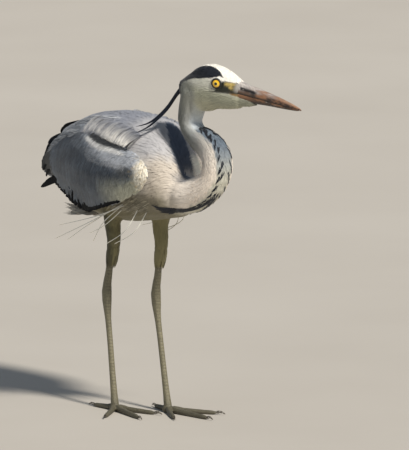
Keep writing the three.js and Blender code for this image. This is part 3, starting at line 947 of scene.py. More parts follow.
class Coat:
    """Feathers gathered for one piece."""

    def __init__(self, name, seed):
        take_colours()
        self.name = name
        self.rng = np.random.default_rng(seed)
        self.batches = []

    def add(self, kind, line, normal, width, thick, colour, chart, crown=CROWN, tone=None):
        """Vanes along lines of shape (n, stations + 1, 3), with a normal and a colour for all vanes,
        for each vane or for each point."""
        normal, colour = (at_each_point(values, line) for values in (normal, colour))
        stations, shares, sides = KINDS[kind]
        across, up = (np.array(v) for v in SECTIONS[sides])
        count = len(line)
        along = unit(np.gradient(line, axis=1))
        side = unit(np.cross(along, normal))
        lift = unit(np.cross(side, along))
        half = (np.reshape(width, (-1, 1)) * np.array(shares) / 2)[:, :, None]
        rim = thick * up - crown * 2 * half * across ** 2
        ring = (line[:, :-1, None, :]
                + side[:, :-1, None, :] * (half * across)[..., None]
                + lift[:, :-1, None, :] * rim[..., None])
        points = np.concatenate([ring.reshape(count, -1, 3), line[:, -1:]], axis=1)
        t = np.concatenate([np.repeat(stations, sides), [1.0]])
        a = np.concatenate([np.tile(across / 2 + 0.5, len(stations)), [0.5]])
        each = self.rng.random(count)
        bake = chart[:, None, :] * (1 - 2 * PATCH) + PATCH + (columns(a, t) - 0.5) * PATCH
        length = np.linalg.norm(np.diff(line, axis=1), axis=2).sum(axis=1)
        vane = columns(a * 0.6, t * length[:, None] / 10 + each[:, None] + np.abs(a - 0.5) * 0.5)
        index = np.concatenate([np.repeat(np.arange(len(stations)), sides), [len(stations)]])
        tone = {"root": 0.07, "tip": 0.04, "shaft": 0.0, "edge": 0.03, "spread": 0.035, **(tone or {})}
        shade = 1 - tone["root"] * (1 - t) ** 1.5 + tone["tip"] * t ** 3
        shade = shade + tone["edge"] * np.abs(2 * a - 1) - tone["shaft"] * (np.abs(2 * a - 1) < 0.3)
        own = 1 + tone["spread"] * self.rng.normal(0, 1, count).clip(-2, 2)
        self.batches.append({
            "points": points, "faces": vane_faces(len(stations), sides),
            "each": np.broadcast_to(each[:, None, None], points.shape[:2] + (1,)),
            "colour": colour[:, index] * (shade * own[:, None])[..., None],
            "bake": bake, "vane": vane,
        })

    def build(self, material, nodes=()):
        corners, totals = [], []
        start = 0
        for batch in self.batches:
            count, size = batch["points"].shape[:2]
            offsets = start + np.arange(count)[:, None] * size
            corners.append((batch["faces"][0][None] + offsets).ravel())
            totals.append(np.tile(batch["faces"][1], count))
            start += count * size
        totals = np.concatenate(totals)
        fields = {
            key: np.concatenate([b[key].reshape(-1, b[key].shape[-1]) for b in self.batches])
            for key in ("points", "colour", "each", "bake", "vane")
        }
        thing = piece_mesh(self.name, fields["points"], np.concatenate(corners), totals,
                           fields["colour"], {"each": fields["each"][:, 0]},
                           {"OFBake": fields["bake"], "vane": fields["vane"]}, VANE_RIM)
        triangles = int((totals - 2).sum())
        print(f"{self.name}: {triangles} triangles")
        if triangles >= MOST_TRIANGLES:
            raise RuntimeError(f"{self.name} has {triangles} triangles")
        return placed(thing, nodes, material)


EDGE_TURN = 0.3  # where the surface turns more sharply than this, a feather runs on past the edge
JITTER = 0.05  # how far feathers of one layer stand over or under each other


def march(spots, kind, length, rng, sway, turn):
    """Centre lines from spots down the surface's lie: places and normals by station."""
    stations = np.array(KINDS[kind][0] + (1.0,))
    lean = rng.normal(0, sway, len(spots)) + turn
    rows = [(spots, unit(spots("normal")))]
    for gap in np.diff(stations):
        here, normal = rows[-1]
        lie = unit(here("lie"))
        across = np.cross(lie, normal)
        way = unit(lie * np.cos(lean)[:, None] + across * np.sin(lean)[:, None])
        ahead = here.place + way * (length * gap)[:, None]
        there = spots.surface.nearest(ahead)
        facing = unit(there("normal"))
        over_edge = (dot(facing, normal) < EDGE_TURN)[:, None]
        there.place = np.where(over_edge, ahead, there.place)
        rows.append((there, np.where(over_edge, normal, facing)))
    return rows, stations


def lay(coat, spots, kind, length, width, thick, colour_of, chart, over=0.0, sway=0.12, turn=0.0,
        curl=0.0, crown=CROWN, tone=None, sunk=0.4):
    """Feathers rooted at the skin, whose tips come up to the surface, or over it."""
    count = len(spots)
    length = length * coat.rng.uniform(0.85, 1.15, count)
    width = width * coat.rng.uniform(0.88, 1.12, count)
    rows, stations = march(spots, kind, length, coat.rng, sway, turn)
    lines = np.stack([there.place for there, _ in rows], 1)
    normals = np.stack([normal for _, normal in rows], 1)
    colour = np.stack([colour_of(there) for there, _ in rows], 1)
    depth = spots("depth") * sunk
    up = 1 - (1 - stations) ** 1.6
    level = -depth[:, None] * (1 - up) + np.reshape(over, (-1, 1)) * up
    level = level + coat.rng.normal(0, JITTER, count)[:, None] * stations
    level = level + curl * coat.rng.uniform(0.3, 1.0, count)[:, None] * stations ** 4
    coat.add(kind, lines + normals * level[..., None], normals, width, thick, colour, chart, crown, tone)


def even(value):
    return lambda at: np.full(len(at), float(value))


# ---- Charts: where each root lies on an unwrap of the skin
def trunk_chart(p):
    x, y, z = p.T
    return columns(np.arctan2(y, z - 325) / TAU + 0.5, (x + 200) / 360).clip(0, 1)


def neck_chart(at):
    turn = np.arctan2(at("sin"), at("cos")) / TAU + 0.5
    return columns(turn, at("share")).clip(0, 1)


def head_chart(p):
    x, y, z = head_coords(p).T
    return columns(np.arctan2(y, z + 12) / TAU + 0.5, (x + 80) / 150).clip(0, 1)


def wing_chart(at):
    outer = at("outer") > 0
    along = (at.place[:, 0] + 245) / 400
    tall = (at.place[:, 2] - 255) / 140 * 0.5
    return columns(along, np.where(outer, tall, 0.5 + tall)).clip(0, 1)


# ---- The bird's surfaces, made once
@functools.cache
def body_surface():
    flesh = sum((list(names) for names in REGIONS.values()), [])
    surface = shell(flesh + ["eye_right", "eye_left", "bill_upper", "bill_lower"], BODY_VOXEL)
    body_fields(surface)
    return surface


@functools.cache
def wing_surface(side):
    surface = shell([f"wing_{side}"])
    wing_fields(surface, side)
    return surface


def all_surfaces():
    return [body_surface()] + [wing_surface(side) for side in SIGN]


# ---- Skin
SKIN_VOXEL = 2.2
LID_REACH = 12.0
LID_INNER = 5.1
LID_LIP = 5.8
LID_OUTER = 7.0
LID_RISE = 0.7
LID_FOLD = 7.9
SHOULDER_JOINTS = ((70, 56, 340, 34), (10, 54, 338, 40), (-50, 44, 336, 34))  # x, y, z and half length
SHOULDER_SIZE = (9, 13)  # half width and half height


def blob(mesh, centre, size):
    """A rounded bridge of flesh, added to a bmesh."""
    made = bmesh.ops.create_icosphere(mesh, subdivisions=3, radius=1.0)
    for v in made["verts"]:
        v.co = Vector(to_metres(np.array(centre) + np.array(v.co[:]) * size))


def flesh():
    """Every surface drawn in by its coat's depth, with shoulders that join the wings to the trunk."""
    parts = bmesh.new()
    for surface in all_surfaces():
        inner = to_metres(surface.points - surface.normals * surface.fields["depth"][:, None])
        made = [parts.verts.new(p) for p in inner.tolist()]
        for quad in surface.quads.tolist():
            parts.faces.new([made[i] for i in quad])
    for sign in SIGN.values():
        for x, y, z, length in SHOULDER_JOINTS:
            blob(parts, (x, sign * y, z), (length, *SHOULDER_SIZE))
    mesh = bpy.data.meshes.new("flesh")
    parts.to_mesh(mesh)
    parts.free()
    return mesh


def finer_round_eyes(points, faces, rounds=2):
    """Splits the faces near the eyes so that the lids can be shaped."""
    mesh = bmesh.new()
    verts = [mesh.verts.new(p) for p in points.tolist()]
    for face in faces.tolist():
        mesh.faces.new([verts[i] for i in face])
    for _ in range(rounds):
        mesh.verts.ensure_lookup_table()
        h = head_coords(np.array([v.co[:] for v in mesh.verts]))
        close = (eye_gap(h) < LID_REACH) & (np.abs(h[:, 1]) > 7)
        edges = [e for e in mesh.edges if close[e.verts[0].index] and close[e.verts[1].index]]
        bmesh.ops.subdivide_edges(mesh, edges=edges, cuts=1, use_grid_fill=True)
        mesh.verts.index_update()
    bmesh.ops.triangulate(mesh, faces=mesh.faces[:])
    mesh.verts.index_update()
    points = np.array([v.co[:] for v in mesh.verts])
    tris = np.array([[v.index for v in f.verts] for f in mesh.faces])
    mesh.free()
    return points, tris


def lidded(points):
    """Draws the skin in round each eyeball and raises a lid at its rim."""
    h = head_coords(points)
    out, beside = eye_parts(h)
    gap = np.linalg.norm(beside, axis=1)
    ball = np.sqrt(np.maximum(EYE_RADIUS ** 2 - gap ** 2, 1.0))
    lip = np.exp(-((gap - LID_LIP) / 0.6) ** 2) * LID_RISE
    fold = np.exp(-((gap - LID_FOLD) / 0.45) ** 2) * -0.35
    rim = np.sqrt(EYE_RADIUS ** 2 - LID_INNER ** 2) - (gap - LID_INNER) * 0.45
    under = ball - 1.6 * step(LID_INNER, LID_INNER - 0.8, gap)
    level = np.where(gap < LID_INNER, under, rim) + lip + fold
    near = step(10.5, LID_OUTER + 0.3, gap) * (np.abs(h[:, 1]) > 6) * (out > -2)
    moved = (beside + level[:, None] * EYE_AXIS + [0, EYE_OFFSET, 0]) * columns(1, np.sign(h[:, 1]), 1)
    return from_head(mix(h, moved, near))


def gape_fold(points):
    """A shallow crease back from the corner of the bill."""
    h = head_coords(points)
    x, y, z = h.T
    crease = np.exp(-((z - line_at(GAPE_LINE, x)) / 1.1) ** 2) * step(-9, 0, x) * step(40, 30, x)
    h[:, 1] -= np.sign(y) * 0.9 * crease * (np.abs(y) > 5)
    return from_head(h)


def skin_colours(points):
    """The markings and painted light and shade of the nearest surface, seen at the skin."""
    found = []
    for surface in all_surfaces():
        at = surface.nearest(points)
        paint = body_colour if surface is body_surface() else wing_colour
        found.append((np.linalg.norm(at.place - points, axis=1), paint(at)))
    best = np.argmin([gap for gap, _ in found], axis=0)
    colour = np.stack([c for _, c in found])[best, np.arange(len(points))]
    h = head_coords(points)
    lid = band(eye_gap(h), 4.4, 7.5, 0.4) * (np.abs(h[:, 1]) > 7)
    return mix(colour, PLUMAGE["eyelid"], lid)


def make_skin():
    take_colours()
    points, quads = remeshed(flesh(), SKIN_VOXEL)
    points = smoothed(points, quad_edges(quads), 6, SHELL_EBB)
    points, tris = finer_round_eyes(points, quads)
    points = gape_fold(lidded(points))
    rng = np.random.default_rng(5)
    n = Nodes("heron_skin")
    pores = n.noise(1500.0, 3.0)
    blotch = n.noise(180.0, 3.0)
    n.marked(n.spread(pores, 0.8, 1.15), n.spread(blotch, 0.85, 1.12))
    n.rough(blotch, 0.42, 0.66)
    n.bump(n.cells(900.0), 0.5, 0.3)
    n.finish(Subsurface_Weight=0.08, Subsurface_Radius=(0.004, 0.002, 0.001))
    skin = piece_mesh("skin", points, tris.ravel(), np.full(len(tris), 3), skin_colours(points),
                      {"each": rng.random(len(points))})
    print("skin:", len(tris), "triangles")
    nodes = ["trunk", "head", "neck_lower", "neck_middle", "neck_upper", "thigh_right", "thigh_left",
             "wing_right", "wing_left"]
    return placed(skin, nodes, n.material)


# ---- Coat of the head
def on_head(at):
    h = head_coords(at.place)
    x, y, _ = h.T
    clear = (bare(h) < 0.4) & ~((eye_gap(h) < EYE_CLEAR) & (np.abs(y) > 8))
    return (at("head") > 0.45) & clear & ((x < 33) | (x < 63) & (chin_edge(h) > 0))


def head_gap(at):
    h = head_coords(at.place)
    return np.interp(h[:, 0], (-70, -30, 5, 30), (1.7, 1.45, 1.15, 1.0))


def under_chin(at):
    h = head_coords(at.place)
    return (chin_edge(h) > 1.5) & (h[:, 0] < 62) & (h[:, 0] > -10)


def make_head_coat(length, width):
    coat = Coat("coat_head", 11)
    spots = body_surface().scatter(head_gap, on_head, 101)
    h = head_coords(spots.place)
    grow = np.interp(h[:, 0], (-72, -45, -10, 12, 30), (2.0, 1.35, 0.95, 0.62, 0.5))
    near_eye = step(14, 8, eye_gap(h))
    grow = grow * (1 - 0.35 * near_eye)
    chart = head_chart(spots.place)
    fuller = np.exp(-((h[:, 0] + 24) / 20) ** 2) * step(4, 12, h[:, 2])
    lay(coat, spots, "tiny", length * grow, width * np.sqrt(grow), 0.14, body_colour, chart,
        over=0.1 + 1.9 * fuller, sway=0.12)
    chin = body_surface().scatter(even(1.85), under_chin, 102)
    lay(coat, chin, "lance", length * 1.7, width * 0.75, 0.15, body_colour, head_chart(chin.place),
        over=0.4, sway=0.15, curl=0.8)
    coat.build(feather_material("head_feathers", roughness=0.6))


# ---- Coat of the neck
THROAT_TURN = -0.10  # the foreneck's own middle, turned a little to the bird's right
STREAK_STEP = 0.036
NECK_HALF = 0.5  # where the lower coat gives way to the upper one


def on_neck(at):
    return (at("neck") > 0.42) & (at("head") < 0.5)


def neck_spots(surface, places):
    """Places given as (share of length, angle from the throat line), brought to the surface."""
    out = []
    for share, turn in places:
        i = int(np.clip(share, 0, 1) * (NECK_STEPS - 1))
        way = neck_throat[i] * math.cos(turn) + neck_left[i] * math.sin(turn)
        out.append(neck_points[i] + way * neck_radius[i])
    return surface.nearest(np.array(out))


def make_neck_coats(length, width):
    body = body_surface()

    def gap(at):
        return np.interp(at("share"), (0, 0.3, 0.7, 1), (2.6, 2.2, 1.9, 1.8))

    spots = body.scatter(gap, on_neck, 103)
    share = spots("share")
    halves = (("coat_neck_low", share < NECK_HALF, 12), ("coat_neck_high", share >= NECK_HALF, 13))
    for name, part, seed in halves:
        coat = Coat(name, seed)
        chosen = spots[part]
        grow = np.interp(share[part], (0, 0.3, 0.7, 1), (1.5, 1.2, 0.95, 0.75))
        lay(coat, chosen, "down", length * grow, width * grow, 0.09, body_colour,
            neck_chart(chosen), over=0.1, sway=0.05, tone={"root": 0.03, "spread": 0.03}, crown=0.06)
        if name == "coat_neck_low":
            add_streaks(coat, body, length, width)
        coat.build(feather_material("neck_feathers"))


STREAK_ROWS = {
    -1: ((0.24, -0.44), (0.40, -0.38), (0.50, -0.40), (0.56, -0.44), (0.62, -0.36), (0.70, -0.05)),
    1: ((0.24, 0.18), (0.40, 0.20), (0.46, 0.30), (0.56, 0.46), (0.62, 0.40), (0.70, 0.15)),
}
STREAK_LEAN = 0.30
FOLD_SPECKS = 16  # small dark specks scattered where the neck folds, on each side


def black(at):
    return np.tile(PLUMAGE["streak"], (len(at), 1))


def add_streaks(coat, body, length, width):
    """Rows of black streaks down both sides of the foreneck, thicker where the neck folds."""
    rng = np.random.default_rng(7)
    for sign, path in STREAK_ROWS.items():
        shares, turns = np.array(path).T
        rows = []
        for share in np.arange(0.24, 0.62, STREAK_STEP):
            turn = np.interp(share, shares, turns)
            rows.append((share + rng.normal(0, 0.002), turn + rng.normal(0, 0.02)))
            if share > 0.44:
                rows.append((share + STREAK_STEP * 0.5, turn - sign * 0.16 + rng.normal(0, 0.03)))
        for share in np.arange(0.60, 0.70, 0.009):
            rows.append((share, np.interp(share, shares, turns) + rng.normal(0, 0.09)))
        for share in rng.uniform(0.605, 0.725, FOLD_SPECKS):
            rows.append((share, THROAT_TURN + sign * rng.uniform(0.0, 0.40)))
        spots = neck_spots(body, rows)
        share = np.array([row[0] for row in rows])
        size = np.interp(share, (0.3, 0.5, 0.59, 0.61), (1.0, 0.85, 0.75, 0.5))
        chart = neck_chart(spots)
        for over in (0.9, 1.2):
            lay(coat, spots, "lance", length * 1.05 * size, width * 1.75 * size, 0.2, black, chart,
                over=over, sway=0.03, turn=-sign * STREAK_LEAN, sunk=0.1,
                tone={"root": 0.0, "tip": 0.2, "spread": 0.1})


# ---- Coat of the trunk
def on_back(at):
    return (at("trunk") > 0.5) & (at("normal")[:, 2] > 0.05)


def on_front(at):
    return (at("trunk") > 0.5) & (at("normal")[:, 2] <= 0.05) & (at.place[:, 0] > 40)


def on_underside(at):
    return (at("trunk") > 0.5) & (at("normal")[:, 2] <= 0.05) & (at.place[:, 0] <= 40)


def make_trunk_coats(length, width):
    body = body_surface()
    for name, keep, gap, grow, slot, look, seed in (
            ("coat_back", on_back, 2.9, 1.0, "plumage_grey", "back_feathers", 21),
            ("coat_breast", on_front, 2.6, 0.85, "plumage_white", "breast_feathers", 22),
            ("coat_belly", on_underside, 3.6, 0.9, "plumage_white", "belly_feathers", 23)):
        coat = Coat(name, seed)
        spots = body.scatter(even(gap), keep, seed + 100)
        lay(coat, spots, "lance", length * grow, width * grow, 0.10, body_colour,
            trunk_chart(spots.place), over=0.1, sway=0.06, crown=0.05,
            tone={"root": 0.03, "spread": 0.025})
        coat.build(feather_material(look))


def make_thigh_coat(length, width):
    body = body_surface()
    coat = Coat("coat_thighs", 24)
    spots = body.scatter(even(2.1), lambda at: at("thigh") > 0.45, 124)
    lay(coat, spots, "down", length, width, 0.18, body_colour, thigh_chart(spots.place),
        over=0.1, sway=0.09)
    add_cuffs(coat, width)
    coat.build(feather_material("thigh_feathers"))


CUFF_COUNT = 150


def add_cuffs(coat, width):
    """Feathers that close each thigh's end down onto the bare leg."""
    body = body_surface()
    worn = body.fields["thigh"] > 0.5
    for side, sign in SIDES:
        p = body.points[worn & (body.points[:, 1] * sign > 0)]
        end = p[:, 2].min()
        rim = p[p[:, 2] < end + 7]
        shin = to_mm(np.array([v.co[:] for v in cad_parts["shin_" + side].data.vertices]))
        near = shin[np.abs(shin[:, 2] - (end - 12)) < 16]
        centre, thin = np.median(rim, axis=0), np.median(near, axis=0)
        radius = np.linalg.norm((near - thin)[:, :2], axis=1).mean() + 0.5
        turn = np.arange(CUFF_COUNT) / CUFF_COUNT * TAU * 6
        ring = columns(np.cos(turn), np.sin(turn), 0)
        high = coat.rng.uniform(3, 15, CUFF_COUNT)
        spots = body.nearest(centre * [1, 1, 0] + ring * 20 + [0, 0, 1] * (end + high)[:, None])
        drop = coat.rng.uniform(5, 17, CUFF_COUNT)
        ends = thin * [1, 1, 0] + ring * radius + [0, 0, 1] * (end - drop)[:, None]
        middle = spots.place * [0.6, 0.6, 0.5] + ends * [0.4, 0.4, 0.5] + ring * 1.2
        lines = blade_lines("down", spots.place - ring * 0.8, middle, ends)
        coat.add("down", lines, ring, width * 0.9, 0.2, body_colour(spots), thigh_chart(spots.place),
                 0.1, {"root": 0.05, "spread": 0.08})


def thigh_chart(p):
    left = p[:, 1] > 0
    turn = np.arctan2(p[:, 1] - np.where(left, 25, -27), p[:, 0] - np.where(left, 30, -10)) / TAU + 0.5
    return columns((turn + left) / 2, (p[:, 2] - 200) / 100).clip(0, 1)


# ---- Wings
WRIST_REACH = 30  # how far back from its front a wing's feathers stay small


def make_wing_coat(side, length, width):
    surface = wing_surface(side)
    coat = Coat("coat_wing_" + side, 31 if side == "right" else 32)
    front = surface.points[:, 0].max()

    def near_wrist(at):
        return front - at.place[:, 0] < WRIST_REACH

    def gap(at):
        spaced = np.interp(at("height"), (0, 0.2, 0.6, 1), (2.1, 2.4, 2.9, 3.0))
        spaced = np.where(near_wrist(at), 1.9, spaced)
        return np.where(at("outer") > -0.15, spaced, 6.0)

    def clear(at):
        return (at("height") < np.where(at("outer") > 0.05, 0.87, 0.72)) | near_wrist(at)

    spots = surface.scatter(gap, clear, 130)
    height = spots("height")
    back = front - spots.place[:, 0]
    behind = spots.place[:, 0] - surface.points[:, 0].min()
    grow = np.interp(height, (0, 0.15, 0.4, 0.7, 1), (0.38, 0.5, 0.9, 1.05, 0.8))
    grow = grow * np.interp(back, (0, 30, 90), (0.35, 0.65, 1.0))
    grow = grow * np.where(spots("outer") < 0.05, 0.6, 1.0)
    grow = grow * np.interp(behind, (0, 12, 34), (0.3, 0.45, 1.0))
    slim = np.interp(height, (0, 0.3, 0.6), (1.0, 0.85, 0.85))
    tone = {"root": 0.10, "tip": 0.05, "spread": 0.09, "shaft": 0.06, "edge": 0.08}
    wrist = back < WRIST_REACH
    for part, kind, long, wide, thick in (
            (~wrist, "contour", length * grow, width * np.sqrt(grow) * slim, 0.15),
            (wrist, "tiny", 7.5 + 0 * grow, 2.6 + 0 * grow, 0.08)):
        chosen = spots[part]
        lay(coat, chosen, kind, long[part], wide[part], thick, wing_colour,
            wing_chart(chosen), over=0.1, sway=0.05, tone=tone)
    add_comb(coat, side, width)
    hem_ends = np.arange(WING_REAR[side] + 4, 88, 3.2)
    for up, seed in ((9.0, 1.0), (4.5, 0.5), (0.0, 0.0)):
        lines, normals, spots = hem(side, hem_ends, up + HEM_COVER, "contour", 34, coat.rng, seed)
        beside = lines + [0, SIGN[side] * 9, 0]
        along = [surface.nearest(beside[:, k]) for k in range(lines.shape[1])]
        colour = np.stack([wing_colour(spot) for spot in along], axis=1)
        coat.add("contour", lines, normals, width * 1.15, 0.2, colour, wing_chart(spots), 0.09, tone)
    coat.build(feather_material("wing_feathers", roughness=0.55, vary=0.2))


COMB_ROWS = (0.04, 0.08, 0.12, 0.16, 0.20)  # shares of the wing's height
COMB_STEP = 2.5


def add_comb(coat, side, width):
    """Rows of small, evenly set pale coverts along the wing's leading edge."""
    surface = wing_surface(side)
    targets = []
    for row, share in enumerate(COMB_ROWS):
        x = np.arange(-24 + 110 * share, surface.points[:, 0].max() - 34, COMB_STEP)
        top, low = surface.span(x, 6)
        x = x + COMB_STEP / 2 * (row % 2)
        targets.append(columns(x, SIGN[side] * 90.0, top + (low - top) * share))
    spots = surface.nearest(np.vstack(targets))

    def comb_colour(at):
        return mix(wing_colour(at), PLUMAGE["comb"], 0.4)

    lay(coat, spots, "lance", 9.5, width * 0.34, 0.12, comb_colour, wing_chart(spots),
        over=0.3, sway=0.03, tone={"root": 0.35, "tip": 0.12, "spread": 0.05})


# How far the feathers of the lower margin hang under the wing itself, by x of their tips.
HEM_DROP = ((-205, 3), (-187, 7), (-171, 8), (-139, 11), (-103, 14.5), (-60, 13.5), (-46, 13), (-18, 8),
            (24, 4), (54, 0.5), (90, -3))
HEM_SHARE = {"right": 1.0, "left": 0.45}  # the left wing is held closer, so less of it hangs
# How far the last coverts and the black tips under them turn to lie along the margin.
HEM_ALONG = {"right": {"contour": 0.35, "flight": 0.75}, "left": {"contour": 0.75, "flight": 0.92}}
HEM_COVER = 3.4  # how far short of the black margin the last coverts stop


def wing_foot(surface, x):
    """The lowest places of a wing at some x."""
    p = surface.points
    stops = np.linspace(p[:, 0].min() + 3, p[:, 0].max() - 3, 70)
    low = []
    for stop in stops:
        column = p[np.abs(p[:, 0] - stop) < 5]
        low.append(column[column[:, 2].argmin()])
    low = smoothed_line(np.array(low))
    return columns(x, np.interp(x, stops, low[:, 1]), np.interp(x, stops, low[:, 2]))


def smoothed_line(points, rounds=12):
    """Evens out a row of places or values, whose ends stay."""
    points = points.copy()
    for _ in range(rounds):
        points[1:-1] = points[1:-1] * 0.5 + (points[:-2] + points[2:]) * 0.25
    return points


def hem(side, x, up, kind, length, rng, inside):
    """Feathers from a wing's lower part that hang past its margin: lines, normals and root places."""
    surface = wing_surface(side)
    sign = SIGN[side]
    x = x + rng.normal(0, 0.8, len(x))
    foot = wing_foot(surface, x)
    drop = np.interp(x, *np.array(HEM_DROP).T) * HEM_SHARE[side]
    ends = foot + columns(0, sign * 1.5, up - drop + rng.normal(0, 0.5, len(x)))
    near = surface.nearest(foot + [0, sign * 12, 14])
    lie = unit(near("lie"))
    margin = -unit(np.gradient(smoothed_line(foot, 6), axis=0))
    lie = unit(mix(unit(smoothed_line(lie, 8)), margin, HEM_ALONG[side][kind]))
    roots = surface.nearest(ends - lie * length + [0, sign * 14, 0])
    halves = surface.nearest(ends - lie * length * 0.5 + [0, sign * 12, 0])
    out = np.array([0, sign, 0])
    starts = roots.place - out * (0.6 + inside)
    through = halves.place + unit(halves("normal")) * (0.5 - inside)
    lines = blade_lines(kind, starts, through, ends)
    facing = unit(halves("normal") + out + [0.12, 0, 0])
    return lines, facing, roots


def blade_lines(kind, starts, through, ends):
    """Bent centre lines from start, through a middle point, to the end."""
    t = np.array(KINDS[kind][0] + (1.0,))[None, :, None]
    a, b, c = (np.asarray(v, float)[:, None, :] for v in (starts, through, ends))
    control = 2 * b - (a + c) / 2
    return (1 - t) ** 2 * a + 2 * t * (1 - t) * control + t ** 2 * c


# Tips of the long flight feathers that stand out behind each wing.
REAR_PATHS = {
    "right": (((-146, -37, 354), (-170, -31, 344), (-185, -28, 336)),
              ((-150, -37, 347), (-178, -30, 336), (-192, -27, 326)),
              ((-154, -37, 340), (-184, -29, 327), (-197, -27, 316)),
              ((-157, -37, 334), (-189, -28, 318), (-204, -26, 304)),
              ((-156, -37, 326), (-188, -28, 311), (-203, -26, 297)),
              ((-152, -38, 318), (-182, -29, 303), (-194, -26, 290))),
    "left": (((-164, 36, 366), (-206, 31, 357), (-238, 25, 345)),
             ((-176, 35, 362), (-216, 30, 351), (-244, 25, 338)),
             ((-192, 34, 348), (-216, 30, 340), (-237, 25, 330)),
             ((-186, 35, 336), (-208, 31, 328), (-228, 26, 320)),
             ((-176, 37, 324), (-196, 33, 316), (-214, 27, 308))),
}
FOLDED_HAND = {
    "right": (((-118, -30, 299), (-170, -26, 288), (-219, -20, 272)),
              ((-118, -28, 302), (-166, -25, 291), (-207, -21, 279)),
              ((46, -52, 292), (-70, -42, 280), (-186, -24, 297)),
              ((30, -52, 295), (-76, -42, 284), (-180, -24, 301)),
              ((16, -52, 297), (-80, -42, 288), (-172, -24, 305))),
    "left": (((-120, 33, 318), (-180, 26, 318), (-236, 21, 318)),
             ((-112, 33, 320), (-172, 26, 321), (-226, 22, 323)),
             ((40, 50, 296), (-80, 40, 300), (-214, 23, 327)),
             ((20, 50, 300), (-80, 40, 305), (-204, 24, 330))),
}
FLIGHT_TONE = {"root": 0.0, "tip": 0.1, "edge": 0.25, "shaft": -0.3, "spread": 0.10}


def make_flight(side, width):
    """Black flight feathers: a row along the lower margin, long tips behind, and the folded hand."""
    sign = SIGN[side]
    surface = wing_surface(side)
    coat = Coat("flight_" + side, 41 if side == "right" else 42)
    black = PLUMAGE["flight"]
    ends = np.arange(WING_REAR[side] - 12, 66, 3.4)
    lines, normals, spots = hem(side, ends, 0.0, "flight", 32, coat.rng, 4.2)
    coat.add("flight", lines, normals, width * 0.75, 0.3, black, wing_chart(spots), 0.06, FLIGHT_TONE)

    rear = np.array(REAR_PATHS[side], float)
    roots, halves = surface.nearest(rear[:, 0]), surface.nearest(rear[:, 1])
    lines = blade_lines("flight", roots.place - [0, sign * 3.5, 0], halves.place - [0, sign * 0.8, 0],
                        rear[:, 2])
    coat.add("flight", lines, unit(np.array([-0.25, sign, 0.2])), width * 0.9, 0.3, black,
             row_chart(0.2, len(rear)), 0.06, FLIGHT_TONE)

    folded = np.array(FOLDED_HAND[side], float)
    lines = blade_lines("flight", *folded.transpose(1, 0, 2))
    coat.add("flight", lines, unit(np.array([0.05, sign, 0.12])), width * 0.6, 0.35, black,
             row_chart(0.5, len(folded)), 0.04, FLIGHT_TONE)
    look = feather_material("flight_feathers", roughness=0.6, sheen=0.0, gloss=0.06)
    coat.build(look, ["primaries_" + side])


def row_chart(across, count):
    return columns(across, np.linspace(0.1, 0.9, count))


TAIL_FEATHERS = 10


def make_tail(width):
    low, high = (to_mm(c[:]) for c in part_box("tail"))
    coat = Coat("tail_feathers", 43)
    middle = (low + high) / 2
    share = np.arange(TAIL_FEATHERS) / (TAIL_FEATHERS - 1) * 2 - 1
    out = np.abs(share)
    starts = columns(high[0] - 8, middle[1] + share * 7, high[2] - 12 - out * 3)
    through = columns(middle[0], middle[1] + share * 13, middle[2] + 1 - 2 * out)
    ends = columns(low[0] + 1 + 6 * out, middle[1] + share * 16, low[2] + 3 - 1.5 * out)
    lines = blade_lines("flight", starts, through, ends)
    coat.add("flight", lines, unit(np.array([0.25, 0, 1.0])), width, 0.35, PLUMAGE["tail"],
             row_chart(0.3, TAIL_FEATHERS)[:, ::-1], 0.06, {"root": 0.0, "edge": 0.12, "shaft": -0.2})
    coat.build(feather_material("tail_feathers_finish"), ["tail"])


# ---- Long plumes
CREST_LINES = {
    "crest_plume_upper": [(141, 6, 461), (133, 3, 452), (120, -3, 439), (104, -12, 415), (86, -26, 395),
                          (71, -41, 387.5)],
    "crest_plume_lower": [(139, 3, 455), (132, 1, 446), (119, -5, 434), (104, -15, 410), (90, -31, 390),
                          (79, -45, 380.5)],
}


def free_line(points, kind="plume"):
    """One centre line through points, cut at a kind's stations."""
    fine = curve_points(points, 200)
    at = np.array(KINDS[kind][0] + (1.0,)) * 199
    return np.stack([np.interp(at, np.arange(200), fine[:, k]) for k in range(3)], axis=1)


def make_crest(width):
    for node, points in CREST_LINES.items():
        coat = Coat("nape_" + node.split("_")[-1], 51)
        facing = unit(np.array([0.55, -0.75, 0.35]))
        coat.add("plume", free_line(points)[None], facing, width, 0.7, PLUMAGE["stripe"],
                 row_chart(0.5, 1), 0.10, {"root": 0.0, "edge": 0.3, "spread": 0.0})
        look = feather_material("crest_feathers", roughness=0.4, sheen=0.0, gloss=0.25)
        coat.build(look, [node])


BAND_TURNS = ((0.385, -0.16), (0.34, -0.20), (0.29, -0.26), (0.23, -0.45), (0.18, -0.58), (0.13, -0.60))
BAND_END = ((126, 19, 282), (116, 26, 283))


def band_path(body, sign):
    """The line of the black band on one side: off the foreneck and back along the lower breast."""
    turns = [(share, THROAT_TURN - sign * (turn - THROAT_TURN)) for share, turn in BAND_TURNS]
    start = neck_spots(body, turns).place
    return curve_points([tuple(p) for p in start] + [(x, sign * y, z) for x, y, z in BAND_END], 30)


ALONG = (0.1, 1, 1)  # draws noise out along the bird


def silver(at):
    return painted("silver_shade", ("silver", 0.5 + 0.5 * waves(at.place * ALONG, 4, 65)))


def tertial(at):
    return painted("tertial", ("silver", 0.25 + 0.35 * waves(at.place * ALONG, 5, 68)))


SILVER_TONE = {"root": 0.3, "tip": 0.1, "spread": 0.16, "edge": -0.62}
REAR_LANCES = 90
SILVER_COUNT = 170


